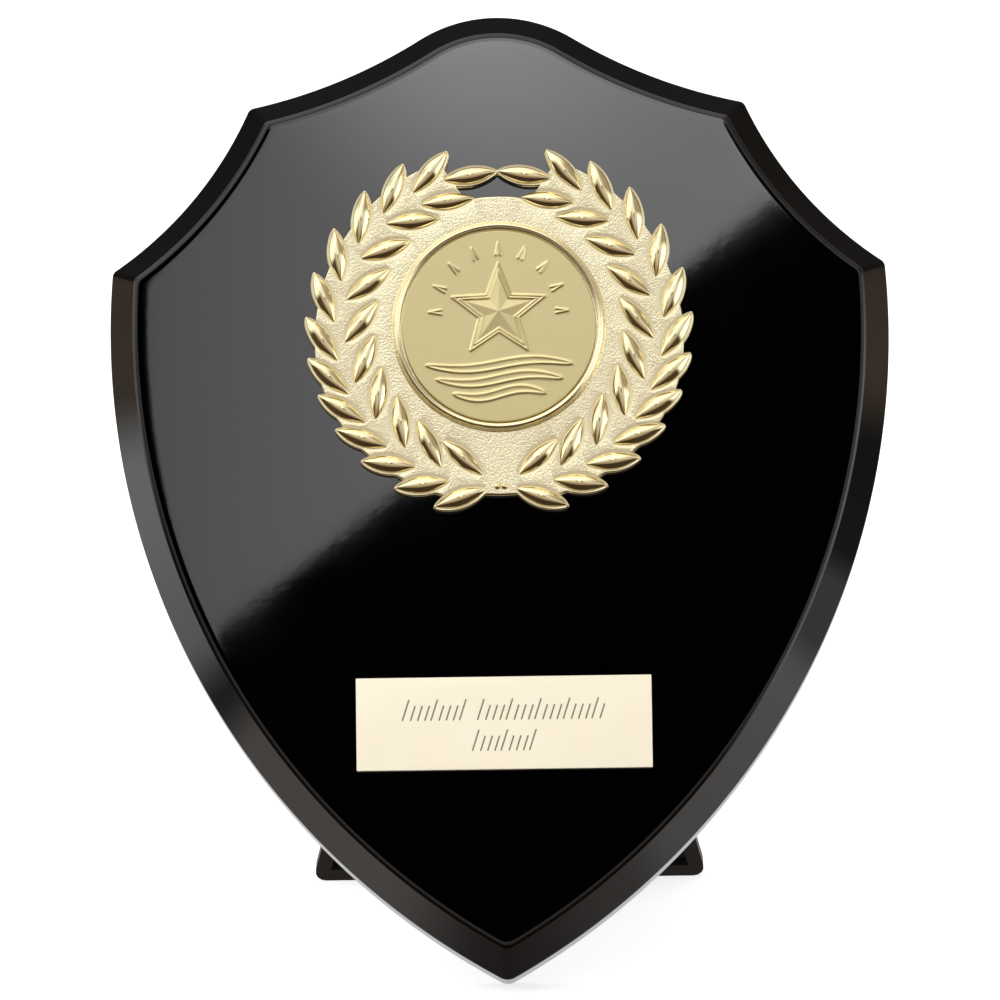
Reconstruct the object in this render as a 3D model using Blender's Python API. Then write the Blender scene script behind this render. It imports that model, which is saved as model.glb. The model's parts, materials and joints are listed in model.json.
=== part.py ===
"""Award shield plaque: a bevelled shield board with a laurel wreath, a plate and a folding easel strut.

Metres, +Z up, the front faces -Y and the board leans back. The origin is the middle of the
object's underside: the board's tip and the strut's foot both stand on z = 0.
"""
import math

import bmesh
import bpy
from mathutils import Vector

MM = 0.001
JOINT_GAP = 0.3 * MM
NEARLY_ZERO = 1e-12

# Colour, roughness and metallic value of each finish
FINISHES = {
    "black_lacquer": ((0.006, 0.006, 0.007), 0.06, 0.0),
    "gold_metallised": ((0.86, 0.76, 0.42), 0.16, 1.0),
    "gold_foil": ((0.80, 0.70, 0.40), 0.30, 1.0),
    "pale_gold_plate": ((0.93, 0.84, 0.63), 0.32, 1.0),
    "moulded_black": ((0.018, 0.015, 0.014), 0.42, 0.0),
    "zinc_screw": ((0.62, 0.62, 0.60), 0.35, 1.0),
}

# Board, 5 inches by 4 inches
BOARD_HEIGHT = 127.0 * MM
BOARD_WIDTH = 101.6 * MM
BOARD_THICKNESS = 11.0 * MM
BOARD_LEAN = math.radians(22.0)
BEVEL_WIDTH = 3.35 * MM
BEVEL_DEPTH = 5.0 * MM
EDGE_ROUND = 0.45 * MM
BACK_EDGE_ROUND = 0.4 * MM

# Outline arcs: a convex crown, a hollow sweep, a hollow notch and a long side down to the tip
CROWN_RADIUS = 19.0 * MM
SWEEP_RADIUS = 68.5 * MM
NOTCH_RADIUS = 50.4 * MM
SIDE_RADIUS = 97.0 * MM
UPPER_CORNER = Vector((32.4 * MM, 115.2 * MM))
SHOULDER_HEIGHT = 93.6 * MM
CORNER_ROUND = 1.1 * MM
TIP_ROUND = 1.6 * MM
CROWN_STEPS = 7
SWEEP_STEPS = 7
NOTCH_STEPS = 8
SIDE_STEPS = 22
CORNER_STEPS = 3

# Laurel wreath, lying on the board round a one-inch centre disc
WREATH_HEIGHT_ON_BOARD = 84.6 * MM
GROUND_RADIUS = 22.9 * MM
GROUND_TOP_RADIUS = 17.3 * MM
GROUND_TOP_ANGLE = math.radians(17.0)
GROUND_THICKNESS = 1.2 * MM
GROUND_MARGIN = 0.35 * MM
GROUND_TIP_MARGIN = 0.42 * MM
GROUND_STEPS = 288
PAD_STEPS = 8
LEAF_LENGTH = 6.9 * MM
LEAF_WIDTH = 2.25 * MM
LEAF_RISE = 1.15 * MM
LEAF_ROOT = 0.5 * MM
LEAF_WIDTH_POWER = 0.8
LEAF_CREST_POWER = 0.6
LEAF_SECTIONS = (0.1, 0.32, 0.6, 0.88)
CHEEK_REACH = 0.72
CHEEK_RISE = 0.62
OUTER_LEAVES = 13
OUTER_RADIUS = 23.0 * MM
OUTER_ANGLES = (math.radians(10.0), math.radians(166.8))
OUTER_ANGLE_SWELL = math.radians(5.0)
OUTER_SPLAY = math.radians(32.0)
INNER_LEAVES = 10
INNER_RADIUS = 17.85 * MM
INNER_ANGLES = (math.radians(21.3), math.radians(164.0))
INNER_ANGLE_SWELL = math.radians(2.4)
INNER_SPLAY = math.radians(-36.0)

# The top leaves of each row lie lower and flatter than the rest, by shares that fade leaf by leaf
TOP_DRAW_IN = 0.117
TOP_DRAW_IN_FADE = 1.3
OUTER_TOP_FLATTEN = 1.03
OUTER_TOP_FADE = 1.9
INNER_TOP_FLATTEN = 0.6
INNER_TOP_FADE = 2.0
INNER_FOOT_FLATTEN = 0.28
INNER_FOOT_POWER = 12

# The opening under the two leaves that meet at the top, by its height over the disc's centre
WINDOW_HALF_WIDTH = 4.0 * MM
WINDOW_ENDS = 17.95 * MM
WINDOW_PEAK = 19.2 * MM
WINDOW_SILL = 17.4 * MM
WINDOW_SWELL = 0.1 * MM

# Bead round the disc's recess
RING_OUTER_RADIUS = 13.85 * MM
RING_INNER_RADIUS = 12.9 * MM
RING_RISE = 2.3 * MM
RECESS_FLOOR = 0.7 * MM
ROUND_STEPS = 72
BEAD_STEPS = 4

# Centre disc and engraving plate
DISC_RADIUS = 12.6 * MM
DISC_THICKNESS = 0.7 * MM
PLATE_WIDTH = 38.1 * MM
PLATE_HEIGHT = 12.0 * MM
PLATE_THICKNESS = 0.6 * MM
PLATE_HEIGHT_ON_BOARD = 32.9 * MM

# Strut: a shallow tray with ribs that turns on stub pins in a bracket
HINGE_HEIGHT = 82.0 * MM
HINGE_STANDOFF = 5.0 * MM
FOOT_DISTANCE = 52.0 * MM
STRUT_THICKNESS = 3.6 * MM
STRUT_TOP_WIDTH = 18.0 * MM
STRUT_FOOT_WIDTH = 53.5 * MM
STRUT_KNUCKLE_WIDTH = 13.0 * MM
STRUT_HEEL = 2.2 * MM
STRUT_NECK = 6.5 * MM
STRUT_CORNER_ROUND = 1.4 * MM
STRUT_CORNER_STEPS = 4
STRUT_FOOT_BAND = 4.2 * MM
STRUT_RIM = 2.0 * MM
STRUT_POCKET_DEPTH = 2.2 * MM
STRUT_RIB = 1.4 * MM
STRUT_POCKET_ROWS = 3
PIN_RADIUS = 1.2 * MM
PIN_STEPS = 16

# Bracket and its screws
BRACKET_WIDTH = 32.0 * MM
BRACKET_HEIGHT = 16.0 * MM
BRACKET_THICKNESS = 1.6 * MM
EAR_THICKNESS = 2.6 * MM
EAR_RADIUS = 2.6 * MM
EAR_STEPS = 10
SCREW_RADIUS = 2.1 * MM
SCREW_RISE = 1.0 * MM
SCREW_PROFILE = ((1.0, 0.0), (1.0, 0.35), (0.75, 0.82), (0.35, 1.0))
SCREW_OFFSET = 12.6 * MM
SLOT_WIDTH = 0.5 * MM
SLOT_DEPTH = 0.45 * MM
SCREW_STEPS = 24


def clear_scene():
    for thing in list(bpy.data.objects):
        bpy.data.objects.remove(thing, do_unlink=True)


def material(name):
    colour, roughness, metallic = FINISHES[name]
    made = bpy.data.materials.new(name)
    made.use_nodes = True
    shader = made.node_tree.nodes["Principled BSDF"]
    shader.inputs["Base Color"].default_value = (*colour, 1.0)
    shader.inputs["Roughness"].default_value = roughness
    shader.inputs["Metallic"].default_value = metallic
    return made


def mesh_object(name, bm, finish, parent):
    """Turns a bmesh into a named object with outward faces, and frees the bmesh."""
    bmesh.ops.recalc_face_normals(bm, faces=bm.faces)
    mesh = bpy.data.meshes.new(name)
    bm.to_mesh(mesh)
    bm.free()
    mesh.materials.append(finish)
    made = bpy.data.objects.new(name, mesh)
    bpy.context.collection.objects.link(made)
    made.parent = parent
    return made


def empty(name, parent=None):
    made = bpy.data.objects.new(name, None)
    bpy.context.collection.objects.link(made)
    made.parent = parent
    return made


def boolean(target, cutter, operation):
    """Adds one exact Boolean to the target and hides the cutter."""
    step = target.modifiers.new(cutter.name, "BOOLEAN")
    step.operation = operation
    step.solver = "EXACT"
    step.object = cutter
    cutter.hide_render = True
    cutter.display_type = "WIRE"


def circle_crossing(centre_a, radius_a, centre_b, radius_b, side):
    """The point where two circles cross, on the left (+1) or right (-1) of the line from a to b."""
    along = centre_b - centre_a
    distance = along.length
    reach = (distance ** 2 + radius_a ** 2 - radius_b ** 2) / (2.0 * distance)
    rise = math.sqrt(max(radius_a ** 2 - reach ** 2, 0.0))
    direction = along / distance
    across = Vector((-direction.y, direction.x))
    return centre_a + direction * reach + across * rise * side


def arc(centre, start, end, steps):
    """Points from start to end round the centre, the short way, with both ends."""
    first = math.atan2(start.y - centre.y, start.x - centre.x)
    last = math.atan2(end.y - centre.y, end.x - centre.x)
    turn = (last - first + math.pi) % (2.0 * math.pi) - math.pi
    radius = (start - centre).length
    points = []
    for step in range(steps + 1):
        angle = first + turn * step / steps
        points.append(centre + Vector((math.cos(angle), math.sin(angle))) * radius)
    return points


def rounded_corner(before, corner, after, radius, steps):
    """Points of a fillet of the given radius between two straight runs that meet at the corner."""
    to_before = (before - corner).normalized()
    to_after = (after - corner).normalized()
    half_angle = to_before.angle(to_after) / 2.0
    setback = radius / math.tan(half_angle)
    centre = corner + (to_before + to_after).normalized() * radius / math.sin(half_angle)
    return arc(centre, corner + to_before * setback, corner + to_after * setback, steps)


def outline_centres():
    """Centres of the outline's four arcs on the right half, with the tip at the origin."""
    crown = Vector((0.0, BOARD_HEIGHT - CROWN_RADIUS))
    sweep = circle_crossing(crown, CROWN_RADIUS + SWEEP_RADIUS, UPPER_CORNER, SWEEP_RADIUS, 1)
    side_x = BOARD_WIDTH / 2.0 - SIDE_RADIUS
    side = Vector((side_x, math.sqrt(SIDE_RADIUS ** 2 - side_x ** 2)))
    shoulder_x = side.x + math.sqrt(SIDE_RADIUS ** 2 - (SHOULDER_HEIGHT - side.y) ** 2)
    shoulder = Vector((shoulder_x, SHOULDER_HEIGHT))
    notch = circle_crossing(UPPER_CORNER, NOTCH_RADIUS, shoulder, NOTCH_RADIUS, 1)
    return crown, sweep, notch, side


def shield_outline(inset):
    """The shield's outline drawn in by an inset, counter-clockwise from the tip, tip at the origin."""
    crown, sweep, notch, side = outline_centres()
    crown_radius = CROWN_RADIUS - inset
    side_radius = SIDE_RADIUS - inset
    notch_radius = NOTCH_RADIUS + inset
    sweep_radius = SWEEP_RADIUS + inset
    apex = crown + Vector((0.0, crown_radius))
    join = crown + (sweep - crown).normalized() * crown_radius
    upper = circle_crossing(sweep, sweep_radius, notch, notch_radius, -1)
    shoulder = circle_crossing(notch, notch_radius, side, side_radius, 1)
    tip = Vector((0.0, side.y - math.sqrt(side_radius ** 2 - side.x ** 2)))
    side_arc = arc(side, tip, shoulder, SIDE_STEPS)
    notch_arc = arc(notch, shoulder, upper, NOTCH_STEPS)
    sweep_arc = arc(sweep, upper, join, SWEEP_STEPS)
    crown_arc = arc(crown, join, apex, CROWN_STEPS)
    mirrored = Vector((-side_arc[1].x, side_arc[1].y))
    tip_round = rounded_corner(mirrored, tip, side_arc[1], TIP_ROUND, 2 * CORNER_STEPS)
    right = tip_round[CORNER_STEPS:]
    right += side_arc[1:-1]
    right += rounded_corner(side_arc[-2], shoulder, notch_arc[1], CORNER_ROUND, CORNER_STEPS)
    right += notch_arc[1:-1]
    right += rounded_corner(notch_arc[-2], upper, sweep_arc[1], CORNER_ROUND, CORNER_STEPS)
    right += sweep_arc[1:-1]
    right += crown_arc
    left = [Vector((-point.x, point.y)) for point in reversed(right[1:-1])]
    return right + left


def board_profile():
    """(inset, depth behind the front face) from the face's edge round to the back's edge."""
    steep = math.hypot(BEVEL_WIDTH, BEVEL_DEPTH)
    slope = Vector((-BEVEL_WIDTH, BEVEL_DEPTH)) / steep
    face_edge = Vector((BEVEL_WIDTH, 0.0))
    wall_edge = Vector((0.0, BEVEL_DEPTH))
    back_edge = Vector((0.0, BOARD_THICKNESS))
    profile = rounded_corner(face_edge + Vector((BEVEL_WIDTH, 0.0)), face_edge, face_edge + slope * steep,
                             EDGE_ROUND, 2)
    profile += rounded_corner(face_edge, wall_edge, back_edge, EDGE_ROUND, 1)
    profile += [back_edge - Vector((0.0, BACK_EDGE_ROUND)), back_edge + Vector((BACK_EDGE_ROUND, 0.0))]
    return profile


def loft(bm, loops):
    """Joins closed loops of equal length with quads and closes both ends with flat faces."""
    rings = []
    for loop in loops:
        rings.append([bm.verts.new(point) for point in loop])
    count = len(rings[0])
    for lower, upper in zip(rings, rings[1:]):
        for index in range(count):
            after = (index + 1) % count
            bm.faces.new((lower[index], lower[after], upper[after], upper[index]))
    bm.faces.new(rings[0])
    bm.faces.new(rings[-1])


def build_board(finish, parent):
    """The board: local X across, Z up from the tip, the back face at y = 0."""
    bm = bmesh.new()
    loops = []
    for inset, depth in board_profile():
        outline = shield_outline(inset)
        loops.append([(point.x, depth - BOARD_THICKNESS, point.y) for point in outline])
    loft(bm, loops)
    return mesh_object("shield_board", bm, finish, parent)


def leaf_places():
    """(centre, heading) of each leaf of the left branch: centres from the disc, headings from +X."""
    places = []
    for index in range(OUTER_LEAVES):
        part = index / (OUTER_LEAVES - 1)
        angle = OUTER_ANGLES[0] + (OUTER_ANGLES[1] - OUTER_ANGLES[0]) * part
        angle += OUTER_ANGLE_SWELL * math.sin(math.pi * part) ** 4
        radius = OUTER_RADIUS * (1.0 - TOP_DRAW_IN * math.exp(-TOP_DRAW_IN_FADE * index))
        splay = OUTER_SPLAY * (1.0 - OUTER_TOP_FLATTEN * math.exp(-OUTER_TOP_FADE * index))
        places.append((radius, angle, angle + splay))
    for index in range(INNER_LEAVES):
        part = index / (INNER_LEAVES - 1)
        angle = INNER_ANGLES[0] + (INNER_ANGLES[1] - INNER_ANGLES[0]) * part
        angle += INNER_ANGLE_SWELL * math.sin(math.pi * part)
        flatten = INNER_TOP_FLATTEN * math.exp(-INNER_TOP_FADE * index)
        flatten += INNER_FOOT_FLATTEN * part ** INNER_FOOT_POWER
        places.append((INNER_RADIUS, angle, angle + INNER_SPLAY * (1.0 - flatten)))
    return [(Vector((-math.sin(turn), math.cos(turn))) * radius, heading)
            for radius, turn, heading in places]


def leaf_half_width(part, width):
    """Half the leaf's width at a part of its length from 0 to 1, pointed at both ends."""
    return width / 2.0 * math.sin(math.pi * part) ** LEAF_WIDTH_POWER


def leaf_outline(centre, heading, length, width, steps):
    """The pointed outline of one leaf."""
    along = Vector((math.cos(heading), math.sin(heading)))
    across = Vector((-along.y, along.x))
    points = []
    for step in range(2 * steps):
        part = step / steps
        side = 1.0 if part <= 1.0 else -1.0
        reach = part if part <= 1.0 else 2.0 - part
        points.append(centre + along * (reach - 0.5) * length + across * side * leaf_half_width(reach, width))
    return points


def ray_reach(angle, polygon):
    """How far a ray from the centre, at an angle from the top towards the left, reaches in a polygon."""
    ray = Vector((-math.sin(angle), math.cos(angle)))
    farthest = 0.0
    for start, end in zip(polygon, polygon[1:] + polygon[:1]):
        edge = end - start
        spread = ray.cross(edge)
        if abs(spread) < NEARLY_ZERO:
            continue
        distance = start.cross(edge) / spread
        share = start.cross(ray) / spread
        if 0.0 <= share <= 1.0:
            farthest = max(farthest, distance)
    return farthest


def ground_outline():
    """The ground's edge: a disc that is lower at the top, with every outer leaf standing past it."""
    pads = []
    for centre, heading in leaf_places()[:OUTER_LEAVES]:
        pads.append(leaf_outline(centre, heading, LEAF_LENGTH + 2.0 * GROUND_TIP_MARGIN,
                                 LEAF_WIDTH + 2.0 * GROUND_MARGIN, PAD_STEPS))
    half = []
    half_steps = GROUND_STEPS // 2
    for step in range(half_steps + 1):
        angle = math.pi * step / half_steps
        base = GROUND_TOP_RADIUS if angle < GROUND_TOP_ANGLE else GROUND_RADIUS
        reach = max([base] + [ray_reach(angle, pad) for pad in pads])
        half.append(Vector((-math.sin(angle), math.cos(angle))) * reach)
    mirrored = [Vector((-point.x, point.y)) for point in reversed(half[1:-1])]
    return half + mirrored


def window_outline():
    """The small opening under the two leaves that meet at the top: a lens with swollen sides."""
    quarter = WINDOW_HALF_WIDTH / 2.0
    low = (WINDOW_ENDS + WINDOW_SILL) / 2.0 - WINDOW_SWELL
    high = (WINDOW_ENDS + WINDOW_PEAK) / 2.0 + WINDOW_SWELL
    right = [Vector((0.0, WINDOW_SILL)), Vector((quarter, low)), Vector((WINDOW_HALF_WIDTH, WINDOW_ENDS)),
             Vector((quarter, high)), Vector((0.0, WINDOW_PEAK))]
    left = [Vector((-point.x, point.y)) for point in reversed(right[1:-1])]
    return right + left


def prism(bm, outline, low, high):
    loft(bm, [[(point.x, point.y, low) for point in outline],
              [(point.x, point.y, high) for point in outline]])


def add_leaf(bm, centre, heading):
    """One leaf as a ridged pod whose root is sunk in the ground."""
    along = Vector((math.cos(heading), math.sin(heading)))
    across = Vector((-along.y, along.x))
    root = GROUND_THICKNESS - LEAF_ROOT
    rings = []
    for part in LEAF_SECTIONS:
        middle = centre + along * (part - 0.5) * LEAF_LENGTH
        half = leaf_half_width(part, LEAF_WIDTH)
        rise = LEAF_RISE * math.sin(math.pi * part) ** LEAF_CREST_POWER
        crest = GROUND_THICKNESS + rise
        cheek = GROUND_THICKNESS + rise * CHEEK_RISE
        section = ((1.0, root), (CHEEK_REACH, cheek), (0.0, crest), (-CHEEK_REACH, cheek), (-1.0, root))
        ring = []
        for side, height in section:
            spot = middle + across * side * half
            ring.append(bm.verts.new((spot.x, spot.y, height)))
        rings.append(ring)
    for lower, upper in zip(rings, rings[1:]):
        for index in range(len(lower)):
            after = (index + 1) % len(lower)
            bm.faces.new((lower[index], lower[after], upper[after], upper[index]))
    for ring, part in ((rings[0], 0.0), (rings[-1], 1.0)):
        spot = centre + along * (part - 0.5) * LEAF_LENGTH
        point = bm.verts.new((spot.x, spot.y, (root + GROUND_THICKNESS) / 2.0))
        for index in range(len(ring)):
            bm.faces.new((ring[index], ring[(index + 1) % len(ring)], point))


def leaves_cutter(finish, parent):
    """All the leaves of both branches, as the tool that is joined to the ground."""
    bm = bmesh.new()
    for centre, heading in leaf_places():
        add_leaf(bm, centre, heading)
        add_leaf(bm, Vector((-centre.x, centre.y)), math.pi - heading)
    return mesh_object("wreath_leaves_tool", bm, finish, parent)


def circle(radius, steps):
    angles = [2.0 * math.pi * step / steps for step in range(steps)]
    return [Vector((math.cos(angle), math.sin(angle))) * radius for angle in angles]


def turned(bm, profile, steps):
    """A solid of revolution about the Z axis from a closed (radius, height) profile."""
    rings = []
    for step in range(steps):
        angle = 2.0 * math.pi * step / steps
        rings.append([bm.verts.new((radius * math.cos(angle), radius * math.sin(angle), height))
                      for radius, height in profile])
    for index, ring in enumerate(rings):
        following = rings[(index + 1) % steps]
        for corner in range(len(profile)):
            after = (corner + 1) % len(profile)
            bm.faces.new((ring[corner], ring[after], following[after], following[corner]))


def ring_tool(finish, parent):
    """The raised bead round the disc's recess, sunk in the ground."""
    bm = bmesh.new()
    middle = (RING_OUTER_RADIUS + RING_INNER_RADIUS) / 2.0
    half = (RING_OUTER_RADIUS - RING_INNER_RADIUS) / 2.0
    spring = RING_RISE - half
    root = GROUND_THICKNESS - LEAF_ROOT
    profile = [(RING_INNER_RADIUS, root), (RING_OUTER_RADIUS, root)]
    for step in range(BEAD_STEPS + 1):
        angle = math.pi * step / BEAD_STEPS
        profile.append((middle + half * math.cos(angle), spring + half * math.sin(angle)))
    turned(bm, profile, ROUND_STEPS)
    return mesh_object("wreath_ring_tool", bm, finish, parent)


def build_wreath(finish, parent):
    """The wreath, lying face up in its own frame: X across, Y up the board, Z out of the board."""
    bm = bmesh.new()
    prism(bm, ground_outline(), 0.0, GROUND_THICKNESS)
    wreath = mesh_object("wreath_trim", bm, finish, parent)
    boolean(wreath, leaves_cutter(finish, parent), "UNION")
    boolean(wreath, ring_tool(finish, parent), "UNION")
    recess = bmesh.new()
    prism(recess, circle(RING_INNER_RADIUS, ROUND_STEPS), RECESS_FLOOR, 2.0 * RING_RISE)
    boolean(wreath, mesh_object("wreath_recess_tool", recess, finish, parent), "DIFFERENCE")
    window = bmesh.new()
    prism(window, window_outline(), -GROUND_THICKNESS, 2.0 * RING_RISE)
    boolean(wreath, mesh_object("wreath_window_tool", window, finish, parent), "DIFFERENCE")
    return wreath


def build_disc(finish, parent):
    bm = bmesh.new()
    prism(bm, circle(DISC_RADIUS, ROUND_STEPS), 0.0, DISC_THICKNESS)
    return mesh_object("centre_disc", bm, finish, parent)


def add_box(bm, size, centre):
    made = bmesh.ops.create_cube(bm, size=1.0)
    bmesh.ops.scale(bm, verts=made["verts"], vec=size)
    bmesh.ops.translate(bm, verts=made["verts"], vec=centre)


def add_rod(bm, radius, length):
    """A round rod along X, with its middle at the origin."""
    ends = (-length / 2.0, length / 2.0)
    loft(bm, [[(end, point.x, point.y) for point in circle(radius, PIN_STEPS)] for end in ends])


def build_plate(finish, parent):
    bm = bmesh.new()
    add_box(bm, (PLATE_WIDTH, PLATE_HEIGHT, PLATE_THICKNESS), (0.0, 0.0, PLATE_THICKNESS / 2.0))
    return mesh_object("engraving_plate", bm, finish, parent)


def board_lowest():
    """How high the board's lowest point stands over the sharp tip that its outline starts from."""
    heights = []
    for inset, depth in board_profile():
        tip = shield_outline(inset)[0]
        heights.append(tip.y * math.cos(BOARD_LEAN) + (BOARD_THICKNESS - depth) * math.sin(BOARD_LEAN))
    return min(heights)


def strut_angles():
    """(strut length, its lean from the vertical) when it stands on the floor behind the tip."""
    hinge_y = HINGE_HEIGHT * math.sin(BOARD_LEAN) + HINGE_STANDOFF * math.cos(BOARD_LEAN)
    hinge_z = HINGE_HEIGHT * math.cos(BOARD_LEAN) - HINGE_STANDOFF * math.sin(BOARD_LEAN) - board_lowest()
    run = FOOT_DISTANCE - hinge_y
    return math.hypot(run, hinge_z), math.atan2(run, hinge_z)


def strut_half_width(down, length):
    """Half the leg's width at a distance below the hinge axis."""
    part = (down - STRUT_NECK) / (length - STRUT_NECK)
    return (STRUT_TOP_WIDTH + (STRUT_FOOT_WIDTH - STRUT_TOP_WIDTH) * part) / 2.0


def strut_outline(length):
    """The leg seen from the front: a narrow knuckle on top, then straight sides that flare out."""
    corner = Vector((STRUT_FOOT_WIDTH / 2.0, -length))
    neck = Vector((STRUT_TOP_WIDTH / 2.0, -STRUT_NECK))
    knuckle = STRUT_KNUCKLE_WIDTH / 2.0
    right = rounded_corner(Vector((0.0, -length)), corner, neck, STRUT_CORNER_ROUND, STRUT_CORNER_STEPS)
    right += [neck, Vector((knuckle, -STRUT_NECK)), Vector((knuckle, STRUT_HEEL))]
    left = [Vector((-point.x, point.y)) for point in reversed(right)]
    return right + left


def add_pocket(bm, top, bottom, side, length):
    """One pocket of the tray between two heights below the hinge, on one side of the middle rib."""
    floor = STRUT_POCKET_DEPTH - STRUT_THICKNESS / 2.0
    mouth = -STRUT_THICKNESS
    inner = STRUT_RIB / 2.0
    upper = strut_half_width(top, length) - STRUT_RIM
    lower = strut_half_width(bottom, length) - STRUT_RIM
    outline = [Vector((inner, -top)), Vector((upper, -top)),
               Vector((lower, -bottom)), Vector((inner, -bottom))]
    loft(bm, [[(point.x * side, mouth, point.y) for point in outline],
              [(point.x * side, floor, point.y) for point in outline]])


def pocket_tool(length, finish, parent):
    bm = bmesh.new()
    start = STRUT_NECK + STRUT_RIM
    step = (length - STRUT_RIM - start + STRUT_RIB) / STRUT_POCKET_ROWS
    for row in range(STRUT_POCKET_ROWS):
        top = start + step * row
        for side in (-1.0, 1.0):
            add_pocket(bm, top, top + step - STRUT_RIB, side, length)
    return mesh_object("strut_pocket_tool", bm, finish, parent)


def build_strut(finish, pivot):
    """The leg in the hinge's frame: X along the axis, -Z down the leg, -Y towards the board."""
    length, lean = strut_angles()
    bm = bmesh.new()
    outline = strut_outline(length)
    half = STRUT_THICKNESS / 2.0
    loft(bm, [[(point.x, -half, point.y) for point in outline],
              [(point.x, half, point.y) for point in outline]])
    foot_start = length - STRUT_FOOT_BAND
    for vert in bm.verts:
        share = max(-vert.co.z - foot_start, 0.0) / (length - foot_start)
        vert.co.z -= share * vert.co.y * math.tan(lean)
    strut = mesh_object("strut", bm, finish, pivot)
    pins = bmesh.new()
    add_rod(pins, PIN_RADIUS, STRUT_KNUCKLE_WIDTH + 2.0 * (EAR_THICKNESS + 2.0 * JOINT_GAP))
    boolean(strut, mesh_object("strut_pin_tool", pins, finish, pivot), "UNION")
    boolean(strut, pocket_tool(length, finish, pivot), "DIFFERENCE")
    return strut


def add_ear(bm, start, end):
    """One ear of the bracket between two places along the axis, with a round end round the pin."""
    base = JOINT_GAP - HINGE_STANDOFF + BRACKET_THICKNESS / 2.0
    outline = [Vector((base, -EAR_RADIUS))]
    for step in range(EAR_STEPS + 1):
        angle = -math.pi / 2.0 + math.pi * step / EAR_STEPS
        outline.append(Vector((math.cos(angle), math.sin(angle))) * EAR_RADIUS)
    outline.append(Vector((base, EAR_RADIUS)))
    loft(bm, [[(start, point.x, point.y) for point in outline],
              [(end, point.x, point.y) for point in outline]])


def build_bracket(finish, parent):
    """The bracket in the hinge axis's frame, turned as the board: a base with two ears."""
    bm = bmesh.new()
    middle = JOINT_GAP - HINGE_STANDOFF + BRACKET_THICKNESS / 2.0
    add_box(bm, (BRACKET_WIDTH, BRACKET_THICKNESS, BRACKET_HEIGHT), (0.0, middle, 0.0))
    bracket = mesh_object("strut_bracket", bm, finish, parent)
    ears = bmesh.new()
    inner = STRUT_KNUCKLE_WIDTH / 2.0 + JOINT_GAP
    for side in (-1.0, 1.0):
        add_ear(ears, side * inner, side * (inner + EAR_THICKNESS))
    boolean(bracket, mesh_object("bracket_ears_tool", ears, finish, parent), "UNION")
    bore = bmesh.new()
    add_rod(bore, PIN_RADIUS + JOINT_GAP, BRACKET_WIDTH)
    boolean(bracket, mesh_object("bracket_bore_tool", bore, finish, parent), "DIFFERENCE")
    return bracket


def build_screw(name, finish, parent):
    """A round screw head with a slot, lying face up in its own frame."""
    bm = bmesh.new()
    loops = []
    for reach, rise in SCREW_PROFILE:
        rim = circle(reach * SCREW_RADIUS, SCREW_STEPS)
        loops.append([(point.x, point.y, rise * SCREW_RISE) for point in rim])
    loft(bm, loops)
    screw = mesh_object(name, bm, finish, parent)
    slot = bmesh.new()
    add_box(slot, (3.0 * SCREW_RADIUS, SLOT_WIDTH, 2.0 * SLOT_DEPTH), (0.0, 0.0, SCREW_RISE))
    boolean(screw, mesh_object(name + "_slot_tool", slot, finish, parent), "DIFFERENCE")
    return screw


def place(thing, location, turn):
    """Sets a piece, and any tools made with it, at a place in the frame of its parent."""
    tools = [step.object for step in thing.modifiers]
    for piece in [thing, *tools]:
        piece.location = location
        piece.rotation_euler = (turn, 0.0, 0.0)


def stand_at_origin(root, pieces):
    """Moves the whole object so that the middle of its underside is at the origin."""
    bpy.context.view_layer.update()
    graph = bpy.context.evaluated_depsgraph_get()
    corners = []
    for piece in pieces:
        shown = piece.evaluated_get(graph)
        corners += [shown.matrix_world @ vert.co for vert in shown.data.vertices]
    depths = [corner.y for corner in corners]
    root.location = (0.0, -(min(depths) + max(depths)) / 2.0, -min(corner.z for corner in corners))


def main():
    clear_scene()
    moulded_black = material("moulded_black")
    zinc = material("zinc_screw")
    root = empty("plaque_root")
    board_frame = empty("board_frame", root)
    board_frame.rotation_euler = (-BOARD_LEAN, 0.0, 0.0)
    face = -BOARD_THICKNESS - JOINT_GAP
    upright = math.pi / 2.0

    board = build_board(material("black_lacquer"), board_frame)
    wreath = build_wreath(material("gold_metallised"), board_frame)
    place(wreath, (0.0, face, WREATH_HEIGHT_ON_BOARD), upright)
    disc = build_disc(material("gold_foil"), board_frame)
    place(disc, (0.0, face - RECESS_FLOOR - JOINT_GAP, WREATH_HEIGHT_ON_BOARD), upright)
    plate = build_plate(material("pale_gold_plate"), board_frame)
    place(plate, (0.0, face, PLATE_HEIGHT_ON_BOARD), upright)

    axis_place = (0.0, HINGE_STANDOFF, HINGE_HEIGHT)
    bracket = build_bracket(moulded_black, board_frame)
    place(bracket, axis_place, 0.0)
    screws = []
    for name, side in (("bracket_screw_left", -1.0), ("bracket_screw_right", 1.0)):
        screw = build_screw(name, zinc, board_frame)
        seat = 2.0 * JOINT_GAP + BRACKET_THICKNESS
        place(screw, (side * SCREW_OFFSET, seat, HINGE_HEIGHT), -upright)
        screws.append(screw)
    pivot = empty("strut_pivot", board_frame)
    pivot.location = axis_place
    pivot.rotation_euler = (BOARD_LEAN + strut_angles()[1], 0.0, 0.0)
    strut = build_strut(moulded_black, pivot)

    stand_at_origin(root, [board, wreath, disc, plate, bracket, strut, *screws])


main()
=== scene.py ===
"""Looks of the award shield plaque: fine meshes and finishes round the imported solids.

Metres, +Z up, in the frame's own axes. The front pieces are modelled lying face up, X across,
Y up the board and Z out of it, and are then set on the board's face.
"""
import json
import math

import bmesh
import bpy
import numpy as np
from mathutils import Matrix, Vector


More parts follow.
